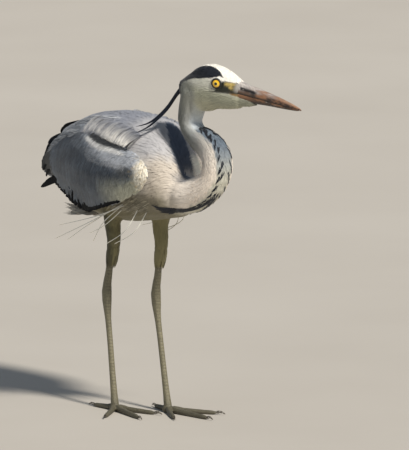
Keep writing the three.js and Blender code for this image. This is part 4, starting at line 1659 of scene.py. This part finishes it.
def add_rear_lances(coat, side, width, rng):
    """Long narrow grey feathers, dark at their edges, over the top of each folded wing's rear."""
    surface, sign = wing_surface(side), SIGN[side]
    x = rng.uniform(surface.points[:, 0].min() + 44, -46, REAR_LANCES)
    top, _ = surface.span(x)
    down = rng.uniform(-4, 11, REAR_LANCES)
    spots = surface.nearest(columns(x, sign * 54.0, top - down))
    turn = signed_turn(spots, [-0.95, -sign * 0.05, -0.22]) + rng.normal(0, 0.05, REAR_LANCES)
    lay(coat, spots, "hackle", rng.uniform(26, 42, REAR_LANCES), width * 0.95, 0.2, tertial,
        trunk_chart(spots.place), over=0.7, sway=0.03, turn=turn, tone=SILVER_TONE)


def make_plumes(width):
    """Long feathers over the coat: silvery scapulars and their pale ends, the lances over the wings'
    rear, the flank's loose plumes and the breast's black bands."""
    body = body_surface()
    rng = np.random.default_rng(61)
    coat = Coat("coat_plumes", 61)
    for side, sign in SIDES:
        x = rng.uniform(-96, 40, SILVER_COUNT)
        y = sign * rng.uniform(18, 50, SILVER_COUNT)
        spots = body.nearest(columns(x, y, 392))
        lay(coat, spots, "plume", rng.uniform(50, 90, SILVER_COUNT), width * 0.55, 0.2, silver,
            trunk_chart(spots.place), over=1.0, sway=0.06, turn=-sign * 0.05, curl=0.8,
            tone=SILVER_TONE)
        add_rear_lances(coat, side, width, rng)
        add_scapular_ends(coat, sign, width, rng)
        add_flank_streaks(coat, sign, width, rng)
        path = band_path(body, sign)
        for lane in (-2.6, 2.4, -0.8, 0.8):
            spots = body.nearest(path[:-5] + np.array([0, sign * 0.6, lane]))
            ahead = path[5:] - path[:-5]
            turn = signed_turn(spots, ahead)
            lay(coat, spots, "hackle", 24 + 3 * lane, width * 1.3, 0.25, black, trunk_chart(spots.place),
                over=1.1, sway=0.05, turn=turn, sunk=0.1, tone={"root": 0.0, "tip": 0.2, "shaft": -0.1})
    coat.build(feather_material("plume_feathers", roughness=0.5))


FLANK_COUNT = 150


def flank_streak(at):
    x, _, z = at.place.T
    lane = columns(0.42 * x - 0.9 * z, 0.04 * x, 0)
    pale = np.clip(0.45 + 1.1 * waves(lane, 1.7, 67), 0, 1)
    return painted("flank_dark", ("flank_pale", pale))


def add_flank_streaks(coat, sign, width, rng):
    """Long loose plumes of the lower flank, dark and pale by turns."""
    body = body_surface()
    x = rng.uniform(40, 132, FLANK_COUNT)
    z = rng.uniform(264, 302, FLANK_COUNT)
    spots = body.nearest(columns(x, sign * 70.0, z))
    turn = signed_turn(spots, [-0.93, 0.0, -0.34]) + rng.normal(0, 0.07, FLANK_COUNT)
    lay(coat, spots, "hackle", rng.uniform(34, 58, FLANK_COUNT), width * 0.42, 0.2, flank_streak,
        trunk_chart(spots.place), over=0.9, sway=0.03, turn=turn, curl=0.6,
        tone={"root": 0.1, "tip": 0.05, "spread": 0.14})


SCAPULAR_COUNT = 640
# How far behind their roots the ends hang, in millimetres, by side: the left ones lie further back.
SCAPULAR_TRAIL = {-1: 0.0, 1: 18.0}
SCAPULAR_TAPER = {-1: 0.0, 1: 0.6}


def add_scapular_ends(coat, sign, width, rng):
    """Loose pale ends of the shoulder feathers, which hang over the crease above the wing."""
    wing = wing_surface("right" if sign < 0 else "left")
    line = np.array(CREASE_SHADE_LINES[sign], float)
    start = rng.uniform(-46, 84, SCAPULAR_COUNT)
    high = rng.uniform(0, 1, SCAPULAR_COUNT)
    reach = np.interp(start, (-46, 0, 50, 88), (24, 26, 38, 46)) + rng.uniform(-5, 5, len(start))
    roots = body_surface().nearest(columns(start, sign * (reach + (49 - reach) * (1 - high)), 394.0))
    deep = roots.place - unit(roots("normal")) * 2.2
    lock = 1.5 * waves(columns(start, 12 * high, 0), 9, 66)
    trail = SCAPULAR_TRAIL[sign]
    x = start - 5 - trail + 6 * lock - 9 * rng.uniform(0, 1, len(start))
    z = np.interp(x, line[:, 0], line[:, 1] + line[:, 2]) + 1.5 + 9 * high + 1.6 * lock
    rims = wing.nearest(columns(x, sign * 62.0, z))
    ends = rims.place + columns(0, sign * (0.6 + 0.6 * rng.random(len(x))), 0.3)
    short = np.maximum(step(52, 84, start + 6 * lock), step(-14, -46, start + 6 * lock))
    ends = mix(ends, roots.place, short * SCAPULAR_TAPER[sign])
    lift = 0.4 + (2.8 + 1.8 * lock + rng.normal(0, 0.4, len(x))) * step(90, 66, start)
    through = (roots.place + ends) / 2 + columns(rng.normal(0, 1.5, len(x)), sign, lift)
    lines = blade_lines("hackle", deep, through, ends)
    t = np.array(KINDS["hackle"][0] + (1.0,))[None, :, None]
    # The ends grow pale towards their tips, partly their own pale ends and partly painted light on the
    # raised locks, with painted shade between the locks.
    pale = 0.15 + 0.6 * lock[:, None, None] + 0.8 * t ** 2 * step(0, 40, start)[:, None, None]
    shade = np.broadcast_to(np.clip(2.5 * t[..., 0], 0, 1), pale.shape[:2])
    colour = mix(PLUMAGE["mantle"], PLUMAGE["scapular_shade"], shade)
    tips = np.clip(1.15 * pale * t ** 1.3, 0, 1)
    colour = colour + (PLUMAGE["scapular_tip"] - colour) * tips
    coat.add("hackle", lines, unit(np.array([0, sign * 0.6, 1.0])), width * 0.62, 0.2, colour,
             trunk_chart(roots.place), 0.1, {"root": 0.1, "tip": 0.1, "spread": 0.07})


def signed_turn(at, ahead):
    """The angle from the lie to another way, as march() turns it."""
    lie = unit(at("lie"))
    across = np.cross(lie, at("normal"))
    return np.arctan2(dot(ahead, across), dot(ahead, lie))


# Wisps as (root, sag point, tip): fine white plumes that hang from flank and breast.
WISP_PATHS = [
    ((62, -42, 290), (0, -62, 258), (-118, -56, 217)),
    ((56, -42, 289), (-12, -60, 252), (-86, -56, 219)),
    ((50, -40, 287), (14, -56, 256), (-26, -50, 224)),
    ((66, -40, 288), (8, -62, 264), (-98, -62, 238)),
    ((44, -36, 282), (12, -52, 252), (-42, -46, 233)),
    ((74, -34, 286), (58, -48, 250), (2, -46, 224)),
    ((88, -26, 288), (72, -42, 250), (20, -44, 226)),
    ((74, 28, 286), (40, 48, 254), (-44, 50, 226)),
    ((62, 34, 286), (20, 52, 258), (-76, 52, 233)),
    ((52, 34, 284), (30, 46, 250), (-20, 46, 226)),
]
VENT_COUNT = 230


def make_wisps(width):
    coat = Coat("coat_wisps", 62)
    lines = np.array([free_line(path) for path in WISP_PATHS])
    facing = unit(np.array([0.2, -0.6, 0.7]))
    coat.add("plume", lines, facing, width * 0.62, 0.45, PLUMAGE["wisp"], trunk_chart(lines[:, 0]), 0.1,
             {"root": 0.1, "spread": 0.05})
    body = body_surface()
    rng = np.random.default_rng(63)
    x = rng.uniform(-112, -84, VENT_COUNT)
    y = rng.uniform(-24, 24, VENT_COUNT)
    spots = body.nearest(columns(x, y, 240.0))
    ends = columns(x - rng.uniform(22, 44, VENT_COUNT), y * 1.2 + rng.normal(0, 3, VENT_COUNT),
                   255 - rng.uniform(-9, 8, VENT_COUNT) + 0.12 * (x + 90))
    through = (spots.place + ends) / 2 - columns(0, 0, rng.uniform(0, 4, VENT_COUNT))
    lines = blade_lines("hackle", spots.place + [0, 0, 3.0], through, ends)
    facing = unit(columns(-0.1, np.sign(y) * 0.7, 0.5))
    coat.add("hackle", lines, facing, width * 0.85, 0.3, PLUMAGE["vent"], trunk_chart(spots.place), 0.1,
             {"root": 0.35, "tip": 0.15, "spread": 0.14})
    coat.build(feather_material("wisp_feathers", roughness=0.55))


# ---- Bill: rows of forward place, top, bottom and half width, in the head's frame
UPPER_BILL = [
    (20, 10, -7, 10), (34, 7, -6.5, 9.4), (62, 5.4, -6, 7.6), (98, 2, -6, 5.2), (127, -2.2, -6.4, 2.6),
    (138, -5, -7, 0.7),
]
LOWER_BILL = [
    (20, -9, -18.0, 10), (34, -7.5, -18.0, 9.2), (62, -6.6, -15.8, 7.2), (80, -6.6, -13.6, 6.0),
    (106, -6.7, -11.6, 4.2), (125, -7, -9.8, 2.2), (134, -7.4, -8.6, 0.6),
]
BILL_RINGS = 84
BILL_SIDES = 40


def bill_rows(rows, x):
    """Top, bottom and half width at x."""
    rows = np.array(rows, float)
    return [np.interp(x, rows[:, 0], rows[:, k]) for k in (1, 2, 3)]


def bill_shape(rows, upper):
    """Rings of one half: a round outside, a flat where the halves meet, grooves and the nostril."""
    x = np.linspace(rows[0][0], rows[-1][0], BILL_RINGS)
    top, low, half = (smoothed_line(v, 30) for v in bill_rows(rows, x))
    turn = np.arange(BILL_SIDES) / BILL_SIDES * TAU
    c, s = np.cos(turn)[None], np.sin(turn)[None]
    flat = (low if upper else top)[:, None]
    tall = (top - low)[:, None]
    outward = s > 0 if upper else s < 0
    power = np.where(outward, 0.92, 0.5)
    z = np.where(outward, np.sign(s) * np.abs(s) ** power * tall, np.sign(s) * 0.35 * np.abs(s) ** 0.5)
    y = np.sign(c) * np.abs(c) ** 0.96 * half[:, None]
    rise = np.abs(z) / np.maximum(tall, 0.2)
    xs = np.broadcast_to(x[:, None], y.shape)
    if upper:
        groove = np.exp(-((rise - 0.50) / 0.10) ** 2) * step(30, 36, xs) * step(104, 80, xs) * 0.55
        slit = np.exp(-((rise - 0.50) / 0.08) ** 2) * step(36, 41, xs) * step(59, 53, xs) * 0.8
    else:
        groove = np.exp(-((rise - 0.62) / 0.09) ** 2) * step(30, 40, xs) * step(112, 90, xs) * 0.35
        slit = 0 * xs
    y = y - np.sign(y) * (groove + slit) * outward
    ends = step(0, 1.2, half)[:, None]
    ring = np.stack([xs, y * ends, flat + z * ends], axis=2)
    tip = np.array([[x[-1] + 0.8, 0, float(flat[-1, 0])]])
    root = np.array([[x[0], 0, float(flat[0, 0])]])
    return np.concatenate([ring.reshape(-1, 3), tip, root])


def ring_faces(rings, sides):
    """Corners and counts for rings closed by a tip and a root point."""
    faces = []
    turns = [(i, (i + 1) % sides) for i in range(sides)]
    last = (rings - 1) * sides
    for j in range(0, last, sides):
        faces += [(j + i, j + k, j + sides + k, j + sides + i) for i, k in turns]
    for i, k in turns:
        faces += [(last + i, last + k, rings * sides), (k, i, rings * sides + 1)]
    return corners_of(faces)


def outward_faces(points, corners, totals):
    """Turns every face over if the closed body came out inside out."""
    starts = np.concatenate([[0], np.cumsum(totals)[:-1]])
    a, b, c = (points[corners[starts + k]] for k in range(3))
    if dot(a - points.mean(0), np.cross(b - a, c - a)).sum() > 0:
        return corners
    return np.concatenate([corners[s:s + n][::-1] for s, n in zip(starts, totals)])


HORN = {name: rgb(code) for name, code in {
    "base": "#a39b97",
    "brown": "#6a5343",
    "orange": "#94694a",
    # Colour of the painted highlight near the bill's tip.
    "tip": "#b08d74",
    "dark": "#2a2019",
    "low": "#4c382a",
    "slit": "#120e0b",
    "mud": "#cfc8c0",
}.items()}


def bill_colour(points, upper):
    """Muddy grey ridge, brown sides with dark streaks, an orange gape and a paler top near the tip,
    which is a painted highlight.
    """
    x, z = points[:, 0], points[:, 2]
    top, low, _ = bill_rows(UPPER_BILL if upper else LOWER_BILL, x)
    rise = (z - low) / np.maximum(top - low, 0.3)
    streak = waves(points * [0.20, 1, 1.5], 5.0, 41)
    fleck = waves(points * [0.35, 1, 1], 2.6, 42)
    if not upper:
        return painted(
            "orange",
            ("low", step(0.7, 0.35, rise + 0.15 * streak) * step(34, 60, x)),
            ("dark", np.clip(streak + 0.35, 0, 0.9) * step(40, 76, x)),
            ("slit", step(0.35, 0.15, rise + 0.1 * fleck) * step(48, 70, x) * 0.8),
            ("mud", np.clip(fleck - 0.55, 0, 0.6) * step(70, 84, x)), palette=HORN)
    ridge = step(0.30, 0.62, rise + 0.12 * streak + 0.004 * (60 - x))
    slit = np.exp(-((rise - 0.50) / 0.13) ** 2) * step(35, 39, x) * step(66, 58, x)
    speckle = np.clip(0.7 + 1.2 * waves(points, 2.2, 43), 0, 1)
    return painted(
        "brown",
        ("base", ridge * step(116, 80, x)),
        ("mud", np.clip(fleck * 1.1 + 0.45, 0, 1) * ridge * step(88, 50, x)),
        ("orange", np.clip(0.5 - streak, 0, 0.8) * step(46, 74, x)),
        ("dark", np.clip(streak * 1.1 - 0.1, 0, 0.85) * step(0.85, 0.5, rise)),
        ("slit", np.clip(1.8 * slit, 0, 1)),
        ("dark", step(0.10, 0.03, rise) * 0.9),
        ("dark", step(0.66, 0.36, rise + 0.2 * streak) * step(74, 100, x) * 0.9 * speckle),
        # Painted highlight along the upper bill's top near its tip.
        ("tip", step(0.5, 0.9, rise) * step(90, 120, x) * 0.7), palette=HORN)


def make_bill():
    n = Nodes("bill_horn")
    grain = n.noise(420.0, 5.0, (0.35, 1.0, 1.0))
    fleck = n.noise(1300.0, 2.0)
    n.marked(n.spread(grain, 0.6, 1.3), n.spread(fleck, 0.8, 1.15))
    n.rough(grain, 0.28, 0.55)
    n.bump(grain, 0.35, 0.35)
    n.finish(Coat_Weight=0.15)
    for name, rows, upper in (("bill_top", UPPER_BILL, True), ("bill_under", LOWER_BILL, False)):
        local = bill_shape(rows, upper)
        corners, totals = ring_faces(BILL_RINGS, BILL_SIDES)
        corners = outward_faces(local, corners, totals)
        thing = piece_mesh(name, from_head(local), corners, totals, bill_colour(local, upper))
        placed(thing, ["bill_upper" if upper else "bill_lower"], n.material)


# ---- Eyes
PUPIL_RADIUS = 2.2
IRIS_RADIUS = 5.0
EYE_RINGS = 48
EYE_TURNS = 64
SPOKES = 23
IRIS = {name: rgb(code) for name, code in {
    "pupil": "#050505",
    "inner": "#f3d24a",
    "yellow": "#f0bf1c",
    "amber": "#c98a12",
    "rim": "#0d0b08",
}.items()}


def make_eyes():
    n = Nodes("eye_globe")
    fibre = n.noise(2600.0, 2.0)
    n.marked(n.spread(fibre, 0.86, 1.12))
    n.rough(fibre, 0.05, 0.10)
    n.bump(fibre, 0.02, 0.1)
    n.finish(Coat_Weight=1.0, Coat_Roughness=0.03)
    for side, sign in SIDES:
        lean = np.arange(1, EYE_RINGS) / EYE_RINGS * math.pi
        turn = np.arange(EYE_TURNS) / EYE_TURNS * TAU
        r = np.sin(lean)[:, None] * np.ones(EYE_TURNS)
        bulge = 1 + 0.035 * np.exp(-(np.sin(lean) * EYE_RADIUS / 4.6) ** 2) * (np.cos(lean) > 0)
        local = columns(r * np.cos(turn), np.cos(lean)[:, None] * sign, r * np.sin(turn))
        local = local * EYE_RADIUS * bulge[:, None, None]
        poles = np.array([[0, -sign * EYE_RADIUS, 0], [0, sign * EYE_RADIUS * 1.035, 0]])
        points = np.concatenate([local.reshape(-1, 3), poles])
        reach = np.hypot(points[:, 0], points[:, 2])
        front = points[:, 1] * sign > 0
        spoke = np.arctan2(points[:, 2], points[:, 0]) * SPOKES + 2 * np.sin(reach * 2.1)
        shade = (0.5 + 0.5 * np.sin(spoke)) * 0.45 + 0.3 * step(3.8, 4.9, reach)
        iris = painted("yellow", ("amber", shade), palette=IRIS)
        iris = mix(IRIS["inner"], iris, step(PUPIL_RADIUS, PUPIL_RADIUS + 1.3, reach))
        colour = mix(IRIS["pupil"], iris, step(PUPIL_RADIUS - 0.12, PUPIL_RADIUS + 0.12, reach))
        colour = mix(colour, IRIS["rim"], step(IRIS_RADIUS - 0.25, IRIS_RADIUS + 0.05, reach))
        colour = mix(IRIS["rim"], colour, front.astype(float))
        corners, totals = ring_faces(EYE_RINGS - 1, EYE_TURNS)
        corners = outward_faces(points, corners, totals)
        look = np.array([[math.cos(EYE_TURN), -sign * math.sin(EYE_TURN), 0],
                         [sign * math.sin(EYE_TURN), math.cos(EYE_TURN), 0], [0, 0, 1]])
        place = HEAD_CENTRE + HEAD_LEFT * sign * EYE_OFFSET
        thing = piece_mesh("eyeball_" + side, points @ look @ HEAD_AXES + place, corners, totals, colour)
        placed(thing, ["eye_" + side], n.material)


# ---- Legs
LEG_VOXEL = 0.85
TOES = ("middle", "inner", "outer", "hind")
LEG = {"shank": rgb("#7d7760"), "foot": rgb("#5d5848"), "top": rgb("#8f866a")}
SCALE_STEP = 4.4  # height of the plates down the front of a leg
TOE_STEP = 3.4


def make_legs():
    n = Nodes("leg_skin")
    cells = n.cells(620.0)
    grime = n.noise(160.0, 4.0)
    n.marked(n.spread(cells, 1.12, 0.62), n.spread(grime, 0.75, 1.2))
    n.rough(grime, 0.42, 0.68)
    n.bump(n.spread(cells, 1.0, 0.0), 0.6, 0.4)
    for side in SIGN:
        nodes = [f"{part}_{side}" for part in ("shin", "tarsus", "foot")]
        nodes += [f"toe_{side}_{toe}" for toe in TOES]
        points, quads = remeshed(joined_nodes(nodes), LEG_VOXEL)
        surface = Surface(smoothed(points, quad_edges(quads), 16, SHELL_EBB), quads)
        p, normal = surface.points, surface.normals
        foot = to_mm(middle_of("foot_" + side))
        front = step(0.2, 0.7, normal[:, 0]) * step(14, 26, p[:, 2])
        plates = np.abs(np.sin(p[:, 2] * math.pi / SCALE_STEP))
        on_toes = step(12, 6, p[:, 2]) * step(0.2, 0.7, normal[:, 2])
        reach = np.hypot(p[:, 0] - foot[0], p[:, 1] - foot[1])
        toe_plates = np.abs(np.sin(reach * math.pi / TOE_STEP))
        lift = 0.30 * front * (plates ** 0.4 - 0.8) + 0.30 * on_toes * (toe_plates ** 0.4 - 0.8)
        p = p + normal * (lift - 0.05)[:, None]
        p[:, 2] = np.maximum(p[:, 2], 0.0)
        shade = painted("shank", ("foot", step(30, 0, p[:, 2])), ("top", step(185, 215, p[:, 2]) * 0.6),
                        palette=LEG)
        groove = (1 - plates) ** 3 * front + (1 - toe_plates) ** 3 * on_toes
        shade = shade * (1 - 0.45 * np.clip(groove, 0, 1))[:, None]
        thing = piece_mesh("leg_" + side, p, quads.ravel(), np.full(len(quads), 4), shade)
        print("leg:", 2 * len(quads), "triangles")
        placed(thing, nodes, n.material)


def make_claws():
    n = Nodes("claw_horn")
    grain = n.noise(900.0, 4.0, (1.0, 1.0, 0.4))
    n.link(n.blended(grain, rgb("#2a2620"), rgb("#5a5142")), n.shader.inputs["Base Color"])
    n.rough(grain, 0.25, 0.45)
    n.bump(grain, 0.3, 0.2)
    for side in SIGN:
        for toe in TOES:
            node = f"claw_{side}_{toe}"
            thing = linked(f"nail_{side}_{toe}", joined_nodes([node]))
            even_out = thing.modifiers.new("round", "SUBSURF")
            even_out.levels = even_out.render_levels = 2
            baked = bpy.data.meshes.new_from_object(
                thing.evaluated_get(bpy.context.evaluated_depsgraph_get()))
            thing.modifiers.clear()
            thing.data = baked
            baked.shade_smooth()
            placed(thing, [node], n.material)


# ---- Stage
AZIMUTH = math.radians(60)
ELEVATION = math.radians(8)
DISTANCE = 20.0
AIM = (74.5, 62.0, 250.8)  # the middle of the view, in the bird's own millimetres
FRAME_HEIGHT = 0.592  # metres of height that the view takes in at the bird
SENSOR = 36.0
LIGHTS = {  # the way to it, how wide it is and its colour
    "key": ((0.72, 0.03, 0.69), math.radians(7), (1.0, 0.95, 0.87)),
    "fill": ((0.25, -0.90, 0.35), math.radians(60), (0.72, 0.84, 1.0)),
}
SKY = (0.72, 0.84, 1.0, 1)
FLOOR_REACH = 60.0


def aimed(thing, at):
    way = Vector(at) - thing.location
    thing.rotation_euler = way.to_track_quat("-Z", "Y").to_euler()


def make_stage(key, fill, sky):
    back = Vector((math.sin(AZIMUTH) * math.cos(ELEVATION), -math.cos(AZIMUTH) * math.cos(ELEVATION),
                   math.sin(ELEVATION)))
    aim = Vector(to_metres(AIM))
    data = bpy.data.cameras.new("camera")
    data.sensor_width = SENSOR
    data.lens = SENSOR * DISTANCE / FRAME_HEIGHT
    data.clip_end = 200
    camera = linked("camera", data)
    camera.location = aim + back * DISTANCE
    aimed(camera, aim)
    bpy.context.scene.camera = camera

    heart = Vector(to_metres((40, 0, 330)))
    for name, power in (("key", key), ("fill", fill)):
        way, angle, tint = LIGHTS[name]
        lamp = bpy.data.lights.new(name, "SUN")
        lamp.energy = power
        lamp.angle = angle
        lamp.color = tint
        light = linked(name, lamp)
        light.location = heart + Vector(way).normalized() * 3
        aimed(light, heart)

    world = bpy.data.worlds.new("studio")
    world.use_nodes = True
    background = world.node_tree.nodes["Background"]
    background.inputs["Color"].default_value = SKY
    background.inputs["Strength"].default_value = sky
    bpy.context.scene.world = world

    n = Nodes("studio_floor")
    cloud = n.noise(3.0, 4.0)
    n.link(n.blended(cloud, rgb("#b9b2a8"), rgb("#c2bcb3")), n.shader.inputs["Base Color"])
    n.rough(cloud, 0.6, 0.75)
    n.bump(n.noise(300.0, 3.0), 0.1, 0.3)
    mesh = bpy.data.meshes.new("floor")
    corners = [(x * FLOOR_REACH, y * FLOOR_REACH, 0) for x, y in ((-1, -1), (1, -1), (1, 1), (-1, 1))]
    mesh.from_pydata(corners, [], [(0, 1, 2, 3)])
    mesh.materials.append(n.material)
    linked("floor", mesh)
    bpy.context.scene.view_settings.view_transform = "Standard"
    bpy.context.scene.view_settings.look = "None"


# ---- Settings, operators and panel
def size_property(name, description, default):
    return FloatProperty(name=name, description=description, default=default, subtype="DISTANCE",
                         unit="LENGTH")


class HeronCoatSettings(bpy.types.PropertyGroup):
    """Feather sizes, in metres."""

    head_length: size_property("Head feather length", "Length of a crown feather", 0.0078)
    head_width: size_property("Head feather width", "Width of a crown feather", 0.0017)
    neck_length: size_property("Neck feather length", "Length of a neck feather", 0.0150)
    neck_width: size_property("Neck feather width", "Width of a neck feather", 0.0026)
    trunk_length: size_property("Trunk feather length", "Length of a mantle feather", 0.023)
    trunk_width: size_property("Trunk feather width", "Width of a mantle feather", 0.0052)
    wing_length: size_property("Covert length", "Length of a greater covert", 0.030)
    wing_width: size_property("Covert width", "Width of a greater covert", 0.0054)
    flight_width: size_property("Flight feather width", "Width of a flight feather", 0.0150)
    plume_width: size_property("Plume width", "Width of a long plume", 0.0032)


def colour_property(key, description):
    return FloatVectorProperty(name=key.replace("_", " ").capitalize(), description=description,
                               default=tuple(PLUMAGE[key]), subtype="COLOR", min=0, max=1)


class HeronColourSettings(bpy.types.PropertyGroup):
    """Colours of the main markings."""

    crown: colour_property("crown", "White of the crown")
    stripe: colour_property("stripe", "Black of the stripe over the eye and of the nape plumes")
    neck: colour_property("neck", "Sides of the lower neck")
    mantle: colour_property("mantle", "Grey of the back")
    wing: colour_property("wing", "Slate of the folded wing")
    flight: colour_property("flight", "Black of the flight feathers")
    # The thighs' dark olive is partly painted shade.
    thigh: colour_property("thigh", "Front of the feathered thighs")


def take_colours():
    """Brings the colours of the panel into the palette."""
    for key in HeronColourSettings.__annotations__:
        PLUMAGE[key] = np.array(getattr(bpy.context.scene.heron_colours, key))


class HeronStageSettings(bpy.types.PropertyGroup):
    """Strength of the studio's lights."""

    key: FloatProperty(name="Key light", description="Strength of the warm main light", default=4.4)
    fill: FloatProperty(name="Fill light", description="Strength of the cool side light", default=0.14)
    sky: FloatProperty(name="Room light", description="Strength of the light from all round",
                       default=0.24)


def coat_size(name):
    return getattr(bpy.context.scene.heron_coat, name) / MM


class HERON_OT_skin(bpy.types.Operator):
    """Lays the skin under the coat of trunk, neck, head, wings and thighs"""

    bl_idname = "heron.skin"
    bl_label = "Skin"

    def execute(self, context):
        make_skin()
        return {"FINISHED"}


class HERON_OT_head_coat(bpy.types.Operator):
    """Feathers the head"""

    bl_idname = "heron.head_coat"
    bl_label = "Head feathers"

    def execute(self, context):
        make_head_coat(coat_size("head_length"), coat_size("head_width"))
        return {"FINISHED"}


class HERON_OT_neck_coat(bpy.types.Operator):
    """Feathers the neck and its rows of black streaks"""

    bl_idname = "heron.neck_coat"
    bl_label = "Neck feathers"

    def execute(self, context):
        make_neck_coats(coat_size("neck_length"), coat_size("neck_width"))
        return {"FINISHED"}


class HERON_OT_trunk_coats(bpy.types.Operator):
    """Feathers the back, breast, belly and thighs"""

    bl_idname = "heron.trunk_coats"
    bl_label = "Trunk feathers"

    def execute(self, context):
        make_trunk_coats(coat_size("trunk_length"), coat_size("trunk_width"))
        make_thigh_coat(coat_size("neck_length"), coat_size("neck_width") * 1.1)
        return {"FINISHED"}


class HERON_OT_wing_coats(bpy.types.Operator):
    """Covers both wings with their coverts"""

    bl_idname = "heron.wing_coats"
    bl_label = "Wing coverts"

    def execute(self, context):
        for side in SIGN:
            make_wing_coat(side, coat_size("wing_length"), coat_size("wing_width"))
        return {"FINISHED"}


class HERON_OT_flight(bpy.types.Operator):
    """Makes the flight feathers of both wings and the tail"""

    bl_idname = "heron.flight"
    bl_label = "Flight feathers"

    def execute(self, context):
        for side in SIGN:
            make_flight(side, coat_size("flight_width"))
        make_tail(coat_size("flight_width"))
        return {"FINISHED"}


class HERON_OT_plumes(bpy.types.Operator):
    """Makes the nape plumes, scapulars, breast bands and flank wisps"""

    bl_idname = "heron.plumes"
    bl_label = "Long plumes"

    def execute(self, context):
        make_crest(coat_size("plume_width") * 1.45)
        make_plumes(coat_size("plume_width"))
        make_wisps(coat_size("plume_width"))
        return {"FINISHED"}


class HERON_OT_bill(bpy.types.Operator):
    """Makes the two halves of the bill"""

    bl_idname = "heron.bill"
    bl_label = "Bill"

    def execute(self, context):
        make_bill()
        return {"FINISHED"}


class HERON_OT_eyes(bpy.types.Operator):
    """Makes the eyeballs"""

    bl_idname = "heron.eyes"
    bl_label = "Eyes"

    def execute(self, context):
        make_eyes()
        return {"FINISHED"}


class HERON_OT_legs(bpy.types.Operator):
    """Makes the scaled legs, toes and claws"""

    bl_idname = "heron.legs"
    bl_label = "Legs and claws"

    def execute(self, context):
        make_legs()
        make_claws()
        return {"FINISHED"}


class HERON_OT_stage(bpy.types.Operator):
    """Sets the floor, the lights and the camera"""

    bl_idname = "heron.stage"
    bl_label = "Stage"

    def execute(self, context):
        stage = context.scene.heron_stage
        make_stage(stage.key, stage.fill, stage.sky)
        return {"FINISHED"}


OPERATORS = (HERON_OT_skin, HERON_OT_head_coat, HERON_OT_neck_coat, HERON_OT_trunk_coats,
             HERON_OT_wing_coats, HERON_OT_flight, HERON_OT_plumes, HERON_OT_bill, HERON_OT_eyes,
             HERON_OT_legs, HERON_OT_stage)


class HERON_PT_panel(bpy.types.Panel):
    """Lists the heron's sizes, lights and pieces"""

    bl_label = "Grey heron"
    bl_space_type = "VIEW_3D"
    bl_region_type = "UI"
    bl_category = "Heron"

    def draw(self, context):
        scene = context.scene
        for settings in (scene.heron_coat, scene.heron_colours, scene.heron_stage):
            for key in settings.bl_rna.properties.keys():
                if key not in ("rna_type", "name"):
                    self.layout.prop(settings, key)
        for operator in OPERATORS:
            self.layout.operator(operator.bl_idname)


CLASSES = (HeronCoatSettings, HeronColourSettings, HeronStageSettings, *OPERATORS, HERON_PT_panel)


def register():
    for cls in CLASSES:
        bpy.utils.register_class(cls)
    bpy.types.Scene.heron_coat = PointerProperty(type=HeronCoatSettings)
    bpy.types.Scene.heron_colours = PointerProperty(type=HeronColourSettings)
    bpy.types.Scene.heron_stage = PointerProperty(type=HeronStageSettings)


def unregister():
    del bpy.types.Scene.heron_stage
    del bpy.types.Scene.heron_colours
    del bpy.types.Scene.heron_coat
    for cls in reversed(CLASSES):
        bpy.utils.unregister_class(cls)


def main():
    register()
    for operator in OPERATORS:
        group, name = operator.bl_idname.split(".")
        getattr(getattr(bpy.ops, group), name)()


if __name__ == "__main__":
    main()
